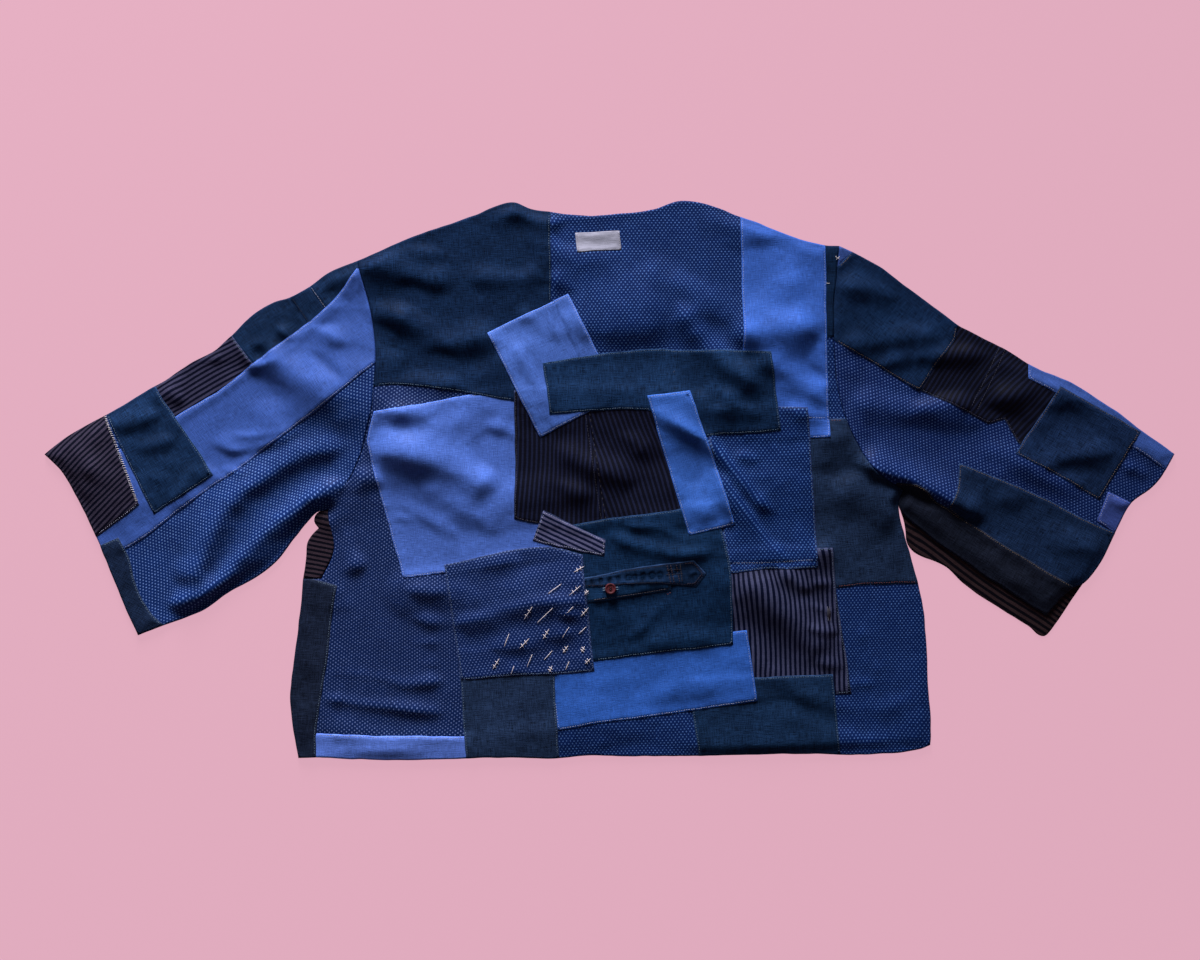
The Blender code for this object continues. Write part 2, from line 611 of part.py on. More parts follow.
def main():
    clear_scene()
    materials = make_materials()
    add_flat_panel("front_left", front_outline(-1), materials["dotted_indigo"])
    add_flat_panel("front_right", front_outline(1), materials["dotted_indigo"])
    add_flat_panel("sleeve_left_under", SLEEVE_LEFT, materials["dotted_indigo"])
    add_flat_panel("sleeve_right_under", SLEEVE_RIGHT_UNDER, materials["grey_stripe"])
    end = SPAN
    dotted = materials["dotted_indigo"]
    add_draped_panel(SIDE_PIECE, [("side_piece_stripe", -end, end)], materials["grey_stripe"])
    halves = [
        ("back_left", -end, BACK_SEAM - GAP / 2),
        ("back_right", BACK_SEAM + GAP / 2, end),
    ]
    panels = {
        "back": add_draped_panel(BACK, halves, dotted),
        "sleeve_left": add_draped_panel(SLEEVE_LEFT, [("sleeve_left", -end, end)], dotted),
        "sleeve_right": add_draped_panel(SLEEVE_RIGHT, [("sleeve_right", -end, end)], dotted),
    }
    sewn = {name: [] for name in panels}
    for scrap in SCRAPS:
        below = sewn[scrap.panel]
        below.append(add_scrap(scrap, panels[scrap.panel], list(below), materials[scrap.cloth]))
    add_button(sewn["back"], materials["button_resin"])


main()
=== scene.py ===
"""Looks of the patched boro jacket, laid out flat with its back up.

Every panel and scrap of cloth is a thin closed shell on its solid's form. One field of heights holds the
loft, the creases and the slack of the cloth, and every layer follows it, so the layers never
cross. The cutting tables are in millimetres, as in the part's source: x from the middle to the wearer's
right, y up from the hem.
"""

from collections import namedtuple
from math import cos, hypot, pi, radians, sin, tau

import bpy
import numpy as np
from mathutils import Euler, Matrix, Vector, kdtree
from mathutils.geometry import delaunay_2d_cdt


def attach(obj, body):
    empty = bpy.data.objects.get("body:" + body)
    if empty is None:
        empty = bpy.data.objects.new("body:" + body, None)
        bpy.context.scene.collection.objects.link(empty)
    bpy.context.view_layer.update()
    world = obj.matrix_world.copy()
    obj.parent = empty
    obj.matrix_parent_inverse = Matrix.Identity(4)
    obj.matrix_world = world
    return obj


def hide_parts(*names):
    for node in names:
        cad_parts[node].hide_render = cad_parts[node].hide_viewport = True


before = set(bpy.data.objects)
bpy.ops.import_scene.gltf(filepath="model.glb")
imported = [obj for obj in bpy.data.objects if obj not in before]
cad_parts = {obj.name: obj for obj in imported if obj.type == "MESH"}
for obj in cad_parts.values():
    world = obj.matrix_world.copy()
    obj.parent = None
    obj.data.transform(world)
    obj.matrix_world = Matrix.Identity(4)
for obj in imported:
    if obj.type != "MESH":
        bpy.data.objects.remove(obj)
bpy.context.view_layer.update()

MM = 0.001

# Sizes, in millimetres.
UNDER_WALL = 1.4  # panels that lie on the surface
PANEL_FOOT = 1.8  # underside of the upper panels where they have no loft
PANEL_WALL = 1.3
SCRAP_WALL = 0.75
SCRAP_GAP = 0.12
HEM_ALLOWANCE = 0.3  # what the cloth turned under a scrap's edge adds
HEM_WIDTH, HEM_STEP = 5.5, 3.5  # where that cloth starts to end, and over how far
GROOVE_DEPTH, GROOVE_WIDTH = 0.42, 0.75  # along the stitches at a scrap's edge
SEAM_RISE, SEAM_WIDTH = 0.34, 4.4  # of the folded cloth beside a seam
LOFT_AT_HEM, LOFT_AT_SHOULDERS = 0.7, 2.2
LOFT_FROM, LOFT_OVER = 160.0, 240.0  # where up the jacket its loft grows
EDGE_ROLL = 14.0  # how far in from a free edge the loft ends
ROLL_RADIUS = 1.7  # the rounding of a panel's own edge
FAR_FROM_RIM = 9.0  # stands for any distance at which cloth isn't rubbed
STITCH_INSET = 1.5
STITCH_PITCH = 2.5
STITCH_LENGTH = 1.9
STITCH_LIFT = 0.12
WEAVE_DEPTH = 0.24  # of the weave's bumps
THREAD = 0.16  # radius of sewing thread
THICK_THREAD = 0.24  # its radius over an edge, round a buttonhole and in a tack
BACK_SEAM = -100.0
CENTRE_FRONT = -6.0
FRONT_OPENING = 3.0
FRONT_NECK_DROP = 88.0
FRONT_NECK_PULL = 45.0
BEYOND = 1000.0  # past the jacket on every side
BUTTON_RADIUS = 5.5
BUTTON_PLACE = (1.0, 172.0)

# Spacing of the meshes' points, and the depths of the rows that follow a piece's edge.
SCRAP_SPACING = 3.2
STRAP_SPACING = 1.4
PANEL_SPACING = 3.7
UNDER_SPACING = 7.0
RING_STEP = 3.0
RING_DEPTHS = (0.5, 1.3, 2.1, 2.8, 3.5, 5.0)
UNDER_DEPTHS = (0.6, 2.0)

# A turn sharper than this many degrees stays a corner in an outline.
PANEL_CORNER, SCRAP_CORNER = 58.0, 24.0

# The grid of heights, in cells from its low corner.
CELL = 1.25
GRID_LOW = (-600.0, -20.0)
GRID_SHAPE = (480, 960)  # rows, columns

# Slack of the cloth: a seed, the size of its waves along x and y, and their height.
Slack = namedtuple("Slack", "seed size_x size_y height")
SOFT_SLACK = (Slack(30, 38, 22, 1.9), Slack(31, 16, 9, 0.32), Slack(32, 7, 4.5, 0.15), Slack(33, 2.6, 2.6, 0.08))
CRUMPLED_SLACK = (Slack(35, 24, 12, 0.42), Slack(36, 8, 14, 0.2))
CREASE_RISE = 1.15  # all creases' heights are multiplied by this

# Stretches of the panels' outlines.
NECK_LEFT, NECK_RIGHT = (-96, 559), (75, 561)
SHOULDER_LEFT, SHOULDER_RIGHT = (-252, 500), (229, 515)
ARMPIT_LEFT, ARMPIT_RIGHT = (-282, 251), (294, 270)


def curve(start, pull_start, pull_end, end, steps=6):
    """Points of a cubic Bezier stretch, its two ends included."""
    points = []
    for i in range(steps + 1):
        t = i / steps
        weights = (1 - t) ** 3, 3 * t * (1 - t) ** 2, 3 * t * t * (1 - t), t**3
        corners = start, pull_start, pull_end, end
        points.append(tuple(sum(w * p[k] for w, p in zip(weights, corners)) for k in (0, 1)))
    return points


NECKLINE = curve(NECK_LEFT, (-70, 542), (20, 540), NECK_RIGHT)
SLOPE_RIGHT = [NECK_RIGHT, (130, 545), (214, 516), SHOULDER_RIGHT]
SLOPE_LEFT = [SHOULDER_LEFT, (-191, 526), (-134, 546), NECK_LEFT]
ARMHOLE_RIGHT = curve(SHOULDER_RIGHT, (219, 415), (222, 300), ARMPIT_RIGHT)
ARMHOLE_LEFT = curve(ARMPIT_LEFT, (-228, 310), (-225, 420), SHOULDER_LEFT)
SIDE_RIGHT = [ARMPIT_RIGHT, (289, 256), (302, 204), (311, 172), (318, 103), (322, 26), (321, 15), (312, 11)]
HEM_RIGHT = [(312, 11), (190, 6), (CENTRE_FRONT + FRONT_OPENING / 2, 3)]
HEM_LEFT = [(CENTRE_FRONT - FRONT_OPENING / 2, 3), (-220, 0), (-312, 2)]
SIDE_LEFT_LOW = [(-312, 2), (-320, 54), (-315, 112), (-307, 182)]
SIDE_LEFT_NOTCH = [(-307, 182), (-288, 182), (-276, 212), ARMPIT_LEFT]
SIDE_LEFT_EDGE = [(-307, 182), (-304, 202), (-302, 218), (-298, 225), (-291, 232), (-296, 239)]
UNDERARM_LEFT = [
    ARMPIT_LEFT, (-294, 248), (-303, 238), (-316, 222), (-335, 199), (-353, 185), (-386, 166),
    (-406, 151), (-438, 137), (-450, 133), (-472, 125),
]
CUFF_LEFT = [(-472, 125), (-486, 156), (-500, 191), (-512, 219), (-543, 279), (-552, 292), (-566, 306)]
TOP_LEFT = [
    (-566, 306), (-545, 323), (-503, 346), (-456, 374), (-418, 398), (-395, 410), (-380, 424),
    (-357, 447), (-336, 459), (-322, 463), (-301, 474), (-282, 487), SHOULDER_LEFT,
]
TOP_RIGHT = [
    SHOULDER_RIGHT, (238, 511), (271, 493), (310, 464), (349, 436), (391, 415), (420, 397),
    (465, 377), (547, 321), (566, 307),
]
CUFF_RIGHT = [(566, 307), (546, 276), (523, 257), (507, 229), (492, 198), (475, 176)]
UNDERARM_RIGHT = [(475, 176), (465, 172), (438, 145), (400, 169), (364, 193), (316, 228), (291, 249)]
UNDERSIDE_RIGHT = [
    (475, 176), (448, 137), (441, 128), (436, 124), (431, 125), (421, 133), (409, 141), (396, 149), (355, 177),
    (338, 193), (301, 213),
    (294, 240), (291, 249),
]
ARMPIT_EDGE_RIGHT = [(291, 249), (289, 256), ARMPIT_RIGHT]
NOTCH_TOP = [ARMPIT_LEFT, (-294, 247), (-296, 239)]


def joined(*stretches):
    """One closed outline from stretches that follow each other."""
    return [point for stretch in stretches for point in stretch[:-1]]


BACK = joined(
    NECKLINE, SLOPE_RIGHT, ARMHOLE_RIGHT, SIDE_RIGHT, HEM_RIGHT, [HEM_RIGHT[-1], HEM_LEFT[0]], HEM_LEFT,
    SIDE_LEFT_LOW, SIDE_LEFT_NOTCH, ARMHOLE_LEFT, SLOPE_LEFT,
)
SLEEVE_LEFT = joined(TOP_LEFT, ARMHOLE_LEFT[::-1], UNDERARM_LEFT, CUFF_LEFT)
SLEEVE_RIGHT = joined(TOP_RIGHT, CUFF_RIGHT, UNDERARM_RIGHT, ARMPIT_EDGE_RIGHT, ARMHOLE_RIGHT[::-1])
SLEEVE_RIGHT_UNDER = joined(
    TOP_RIGHT, CUFF_RIGHT, UNDERSIDE_RIGHT, ARMPIT_EDGE_RIGHT, ARMHOLE_RIGHT[::-1]
)
SIDE_PIECE = joined(SIDE_LEFT_NOTCH, NOTCH_TOP, SIDE_LEFT_EDGE[::-1])
FREE_EDGES = [
    NECKLINE, SLOPE_RIGHT, SLOPE_LEFT, SIDE_RIGHT, HEM_RIGHT, HEM_LEFT, SIDE_LEFT_LOW, SIDE_LEFT_EDGE,
    UNDERARM_LEFT, CUFF_LEFT, TOP_LEFT, TOP_RIGHT, CUFF_RIGHT, UNDERARM_RIGHT,
]


def front_outline(side):
    """A front's outline: the back's shoulder, armhole, side and hem, with a lower neckline of its own."""
    edge = CENTRE_FRONT + side * FRONT_OPENING / 2
    low_neck = (edge, NECK_RIGHT[1] - FRONT_NECK_DROP)
    high_neck = NECK_RIGHT if side > 0 else NECK_LEFT
    pull_low = (edge + side * FRONT_NECK_PULL, low_neck[1] + 4)
    pull_high = (high_neck[0] - side * 4, low_neck[1] + FRONT_NECK_PULL)
    neck = curve(low_neck, pull_low, pull_high, high_neck)
    if side > 0:
        return joined(neck, SLOPE_RIGHT, ARMHOLE_RIGHT, SIDE_RIGHT, HEM_RIGHT, [HEM_RIGHT[-1], low_neck])
    side_left = [*SIDE_LEFT_LOW[:-1], *SIDE_LEFT_EDGE, *NOTCH_TOP[1::-1]]
    centre = [low_neck, HEM_LEFT[0]]
    return joined(neck[::-1], centre, HEM_LEFT, side_left, ARMHOLE_LEFT, SLOPE_LEFT)


corners = BACK + SLEEVE_LEFT + SLEEVE_RIGHT_UNDER
MIDDLE = [(min(p[k] for p in corners) + max(p[k] for p in corners)) / 2 for k in (0, 1)]

# A crease runs along its line, a ridge where its height is positive and a trough where it is negative.
# lean makes its left side, seen along the line, wider than its right side.
Crease = namedtuple("Crease", "line width height lean", defaults=(0.0,))

CREASES = (
    # Left sleeve, long folds from the armhole to the cuff.
    Crease([(-262, 316), (-309, 304), (-341, 286), (-369, 266), (-390, 240), (-402, 214), (-414, 186), (-424, 164)],
           17.0, 6.6, -0.15),
    Crease([(-260, 281), (-296, 264), (-318, 248), (-344, 227), (-366, 203), (-392, 176), (-418, 162), (-448, 154)],
           13.0, 5.4, 0.1),
    Crease([(-425, 212), (-419, 186), (-423, 158)], 23.0, 2.2),
    Crease([(-461, 170), (-449, 152), (-435, 144)], 10.0, -3.0),
    Crease([(-445, 246), (-431, 260), (-413, 282)], 11.0, 1.7),
    Crease([(-372, 414), (-345, 402), (-320, 389), (-288, 368), (-268, 350)], 22.0, 5.8),
    Crease([(-303, 411), (-281, 393), (-259, 373)], 7.0, -2.2),
    Crease([(-379, 384), (-345, 372), (-311, 350)], 16.0, -2.6),
    Crease([(-305, 444), (-277, 424), (-255, 414)], 10.0, 2.4),
    Crease([(-305, 451), (-291, 437), (-269, 439)], 6.0, -1.6),
    Crease([(-409, 318), (-371, 314), (-339, 318), (-307, 332)], 14.5, 2.8, 0.5),
    Crease([(-393, 312), (-375, 309), (-355, 311)], 4.5, 1.4),
    Crease([(-391, 295), (-373, 288), (-357, 291)], 5.0, 1.6),
    Crease([(-383, 326), (-351, 325), (-323, 331)], 4.0, 1.1),
    Crease([(-439, 260), (-409, 288), (-383, 280)], 10.0, 2.0),
    Crease([(-469, 282), (-451, 283), (-435, 276)], 7.0, 1.4),
    Crease([(-321, 444), (-307, 440), (-297, 434)], 11.0, -5.0),
    Crease([(-289, 470), (-273, 464), (-261, 458)], 10.0, -2.6),
    Crease([(-361, 414), (-349, 406), (-337, 400)], 10.0, -5.0),
    Crease([(-335, 437), (-325, 427), (-315, 419)], 6.0, 3.4),
    Crease([(-419, 394), (-399, 402), (-381, 396)], 11.0, 4.4),
    Crease([(-501, 332), (-471, 339), (-441, 350)], 12.0, 4.4),
    Crease([(-425, 406), (-401, 384), (-377, 364)], 20.5, -7.0),
    Crease([(-479, 310), (-453, 316), (-425, 326)], 11.0, 3.6),
    Crease([(-451, 370), (-435, 364), (-423, 354)], 10.0, 2.6),
    Crease([(-537, 310), (-519, 294), (-509, 274)], 12.0, 1.9),
    Crease([(-547, 305), (-527, 321), (-509, 329)], 7.0, -1.4),
    # Left half of the back.
    Crease([(-254, 494), (-222, 491), (-190, 483), (-152, 478)], 17.0, 4.3, 0.1),
    Crease([(-221, 480), (-189, 464), (-154, 448)], 14.0, -3.3),
    Crease([(-224, 450), (-198, 440), (-174, 420), (-148, 418), (-126, 423), (-102, 414)], 16.0, 4.8, 0.05),
    Crease([(-242, 440), (-222, 424), (-206, 402)], 12.0, -4.0),
    Crease([(-246, 458), (-220, 444), (-190, 424)], 16.0, 4.4),
    Crease([(-189, 406), (-151, 400), (-111, 398)], 12.5, -2.2),
    Crease([(-213, 382), (-179, 378), (-139, 376)], 12.5, 3.8),
    Crease([(-162, 520), (-128, 514), (-94, 508), (-66, 507)], 24.0, -4.5),
    Crease([(-107, 546), (-91, 534), (-69, 520)], 13.5, -3.0),
    Crease([(-149, 483), (-103, 482), (-57, 482)], 11.5, 2.0),
    Crease([(-207, 510), (-183, 506), (-159, 510)], 11.0, 2.5),
    Crease([(-99, 450), (-81, 444), (-65, 446)], 11.0, 2.0),
    Crease([(-246, 314), (-214, 307), (-178, 298), (-142, 286), (-108, 272)], 24.0, 8.6, 0.1),
    Crease([(-258, 290), (-240, 284), (-222, 274)], 12.0, 3.0),
    Crease([(-237, 349), (-205, 348), (-167, 350)], 11.0, 3.0),
    Crease([(-231, 334), (-199, 331), (-171, 332)], 11.0, -2.2),
    Crease([(-213, 260), (-175, 238), (-139, 212)], 11.0, 1.7),
    Crease([(-221, 247), (-205, 241), (-187, 233)], 6.0, 1.4),
    Crease([(-195, 280), (-149, 252), (-103, 220)], 14.5, 1.9),
    Crease([(-143, 318), (-121, 306), (-99, 294)], 20.5, -3.3),
    Crease([(-127, 338), (-103, 328), (-83, 316)], 12.5, 3.0),
    Crease([(-261, 298), (-249, 280), (-241, 260)], 14.0, 2.0),
    Crease([(-265, 238), (-256, 204), (-249, 174)], 15.0, 4.2),
    Crease([(-261, 194), (-243, 170), (-235, 138), (-239, 110)], 23.0, -4.9),
    Crease([(-296, 87), (-262, 87), (-236, 83), (-206, 77), (-156, 80)], 10.0, 3.4, 0.1),
    Crease([(-293, 64), (-249, 57), (-204, 51), (-155, 47)], 10.0, 3.6, 0.1),
    Crease([(-269, 111), (-245, 103), (-221, 91)], 7.0, 2.3),
    Crease([(-291, 34), (-261, 30), (-235, 31)], 14.0, 1.2),
    Crease([(-207, 171), (-183, 169), (-157, 170)], 10.0, 2.8),
    Crease([(-203, 144), (-181, 139), (-155, 136)], 10.0, 2.5),
    Crease([(-221, 121), (-193, 118), (-155, 117)], 7.0, 2.2),
    Crease([(-215, 103), (-187, 98), (-159, 96)], 5.0, 1.6),
    Crease([(-162, 136), (-116, 145), (-80, 157), (-50, 160), (-20, 160)], 12.0, 2.8, -0.3),
    Crease([(-149, 190), (-115, 198), (-75, 210)], 14.5, 3.4),
    Crease([(-129, 116), (-99, 116), (-69, 122), (-29, 130)], 11.0, 1.9),
    Crease([(-129, 86), (-105, 88), (-75, 94)], 12.0, 2.4),
    Crease([(-59, 149), (-39, 145), (-19, 147)], 6.0, 1.8),
    Crease([(-139, 60), (-109, 64), (-69, 56)], 17.0, 1.5),
    Crease([(-137, 28), (-103, 32), (-63, 26)], 15.5, 1.2),
    Crease([(-35, 72), (1, 80), (41, 84)], 14.0, 1.5),
    Crease([(31, 60), (71, 70), (111, 74)], 14.0, 1.4),
    # Right half of the back.
    Crease([(-66, 527), (-14, 529), (42, 529), (98, 515)], 17.0, -6.6),
    Crease([(-52, 441), (10, 437), (66, 442)], 44.0, 4.6, 0.3),
    Crease([(27, 494), (61, 484), (87, 464), (105, 438)], 20.5, 3.2, 0.1),
    Crease([(-65, 484), (-47, 478), (-33, 470)], 12.5, 3.3),
    Crease([(65, 460), (87, 428), (109, 402), (135, 383), (155, 364)], 16.0, 5.6),
    Crease([(95, 446), (111, 428), (129, 410), (159, 402)], 14.0, -2.2),
    Crease([(67, 402), (85, 382), (101, 358)], 13.5, -3.2),
    Crease([(105, 372), (119, 364), (137, 350)], 10.0, 2.8),
    Crease([(97, 348), (125, 350), (157, 344)], 11.0, 2.5),
    Crease([(118, 427), (146, 426), (178, 430), (214, 432)], 23.0, 6.8),
    Crease([(135, 396), (165, 394), (191, 378), (223, 356)], 15.0, 3.8, 0.1),
    Crease([(197, 397), (209, 387), (221, 375)], 6.0, -2.2),
    Crease([(129, 498), (149, 510), (171, 516), (197, 502)], 13.5, -2.4),
    Crease([(151, 480), (177, 476), (205, 482)], 19.0, 2.2),
    Crease([(171, 352), (195, 348), (217, 344)], 11.0, 1.8),
    Crease([(-59, 315), (-37, 304), (-17, 293), (15, 284), (35, 282)], 16.0, 4.8, 0.1),
    Crease([(-55, 280), (-33, 268), (-9, 266)], 12.5, 3.0),
    Crease([(7, 328), (27, 316), (45, 298)], 12.5, 2.5),
    Crease([(36, 350), (62, 339), (83, 327), (100, 315), (114, 302), (128, 285), (144, 264), (168, 246)], 10.0, 4.8),
    Crease([(104, 297), (118, 282), (134, 262), (152, 240)], 5.5, -1.4),
    Crease([(102, 296), (118, 276), (132, 256), (153, 223), (182, 197)], 15.0, 4.4, -0.5),
    Crease([(122, 309), (136, 303), (152, 301)], 7.0, 2.0),
    Crease([(63, 314), (79, 294), (93, 272)], 12.5, -3.3),
    Crease([(67, 254), (93, 250), (115, 242)], 13.5, 2.3),
    Crease([(105, 260), (117, 238), (123, 214)], 11.0, -2.2),
    Crease([(-5, 227), (21, 217), (43, 211), (73, 206), (109, 209)], 10.0, 3.4, 0.1),
    Crease([(11, 237), (45, 233), (77, 221), (105, 225)], 6.0, 1.4),
    Crease([(1, 241), (31, 231), (61, 219)], 5.0, 1.1),
    Crease([(53, 161), (36, 135), (9, 119)], 7.5, 1.8),
    Crease([(-23, 152), (11, 156), (45, 164), (71, 171)], 10.0, -1.7),
    Crease([(31, 116), (71, 124), (113, 122)], 12.5, 2.2),
    Crease([(134, 194), (158, 159), (190, 132), (230, 110)], 23.0, 6.4),
    Crease([(163, 200), (183, 180), (207, 168)], 10.0, 3.8),
    Crease([(193, 134), (215, 130), (237, 129)], 6.5, 2.7),
    Crease([(201, 100), (221, 96), (243, 94)], 10.0, 3.4, 0.1),
    Crease([(195, 178), (213, 177), (231, 176)], 5.5, 2.0),
    Crease([(197, 156), (213, 153), (233, 152)], 6.0, 2.0),
    Crease([(205, 163), (217, 155), (229, 153)], 5.0, -2.2),
    Crease([(150, 96), (176, 77), (204, 61), (240, 51), (276, 53), (304, 64)], 12.0, 1.8),
    Crease([(159, 72), (191, 52), (223, 40), (263, 32), (299, 38)], 11.0, -1.0),
    Crease([(165, 58), (201, 36), (233, 25), (287, 20)], 19.0, 1.5),
    Crease([(227, 74), (247, 78), (269, 74)], 10.0, 2.2),
    Crease([(241, 106), (263, 94), (285, 90)], 15.5, 2.8),
    Crease([(237, 130), (257, 124), (279, 126)], 12.5, 2.5),
    Crease([(199, 294), (219, 286), (243, 292), (263, 306)], 13.5, -3.2),
    Crease([(217, 272), (257, 266), (301, 240)], 34.0, 4.5),
    Crease([(199, 216), (213, 209), (231, 204)], 14.0, 3.3),
    Crease([(207, 328), (223, 324), (243, 328)], 14.0, 3.0),
    # Right sleeve.
    Crease([(219, 475), (253, 472), (297, 462)], 16.0, 4.6, 0.1),
    Crease([(229, 419), (271, 419), (311, 424), (341, 420)], 16.0, 4.4, 0.15),
    Crease([(263, 394), (297, 402), (331, 405), (383, 406)], 13.0, 4.8),
    Crease([(287, 446), (311, 440), (333, 442)], 11.5, -1.8),
    Crease([(301, 350), (341, 358), (373, 356)], 13.0, 4.0),
    Crease([(373, 354), (401, 364), (431, 376)], 17.0, 4.9),
    Crease([(373, 350), (399, 346), (421, 334)], 11.5, -2.7),
    Crease([(236, 360), (280, 352), (320, 346), (384, 338)], 20.0, 5.6, 0.05),
    Crease([(240, 300), (272, 290), (302, 279), (335, 263), (360, 250), (380, 239)], 14.0, 7.4, 0.35),
    Crease([(263, 280), (301, 268), (340, 247)], 6.0, -2.4),
    Crease([(371, 316), (405, 302), (441, 280), (481, 256)], 13.0, 2.0),
    Crease([(425, 290), (449, 300), (477, 306), (513, 312)], 13.5, 2.8, 0.2),
    Crease([(429, 348), (453, 342), (485, 334)], 14.5, -2.8),
    Crease([(441, 288), (467, 292), (495, 288)], 10.0, -1.6),
    Crease([(375, 260), (399, 260), (429, 260)], 16.0, 1.8),
    Crease([(421, 236), (457, 222), (497, 208)], 17.0, 2.8),
    Crease([(387, 218), (421, 202), (457, 178)], 14.5, 0.9),
    Crease([(307, 260), (327, 242), (353, 226)], 14.5, 1.4),
    Crease([(361, 212), (393, 194), (425, 170)], 13.0, 1.2),
    Crease([(509, 298), (527, 290), (545, 282)], 10.0, 3.4),
)

# The placket strap is gathered between its two rows of stitches: a dent every few millimetres.
STRAP_DENTS = (-26, -17.5, -9.5, 0, 8, 18.5, 25, 33, 42, 50)
SCRAP_CREASES = {
    "placket_strap": [
        *(([(x, 175.0 + 0.05 * x), (x + 1.0, 185.5 + 0.13 * x)], 3.6, -1.5 - 0.25 * (k % 3))
          for k, x in enumerate(STRAP_DENTS)),
        ([(59.5, 196), (63.5, 177)], 1.8, -0.9),
        ([(66.5, 197), (71, 177)], 1.8, -0.9),
        ([(57, 186), (73, 187.4)], 1.8, -0.8),
        ([(77, 184), (84, 189), (91, 187)], 3.0, 0.9),
        ([(62, 197), (64, 178)], 2.0, 0.7),
    ],
    "patch_grey_stripe": [
        ([(222, 176), (234, 175)], 3.0, -0.5),
        ([(221, 160), (233, 158)], 3.0, -0.6),
        ([(220, 147), (219.5, 141)], 2.6, -0.8),
        ([(223, 126), (235, 124)], 3.0, -0.5),
    ],
    "patch_blue_tilted": [
        ([(-64, 452), (-44, 408)], 4.5, 1.4),
        ([(-86, 420), (-62, 372)], 6.0, -0.6),
        ([(-20, 440), (0, 398)], 4.0, -0.9),
        ([(-34, 456), (-12, 412)], 5.0, 1.4),
        ([(-100, 428), (-70, 366)], 7.0, 1.6),
        ([(-86, 448), (-60, 430), (-34, 424)], 9.0, 0.7),
    ],
    "strip_teal_side": [
        ([(-310, 158), (-304, 120), (-301, 74)], 9.0, 1.3),
        ([(-312, 60), (-306, 34), (-308, 12)], 8.0, 0.9),
    ],
    "cuff_right_blue": [([(494, 262), (508, 258), (524, 246)], 6.0, 1.6)],
    "neck_label": [
        ([(-31, 522), (-10, 524), (8, 521)], 3.6, 0.35),
        ([(-22, 512), (-4, 515), (6, 514)], 3.2, -0.35),
    ],
}

# Names, cloths and places of the scraps, in the order in which they are sewn on. grain is the direction
# of the dots' rows or of the stripes, in degrees from +X. tint multiplies the cloth's colour, by one
# number or by one each for red, green and blue. It holds each scrap's own colour and fade, and also
# painted shade: scraps that lie where the light falls weaker, such as on the right, are made darker.
Scrap = namedtuple("Scrap", "name cloth panel grain tint corners")

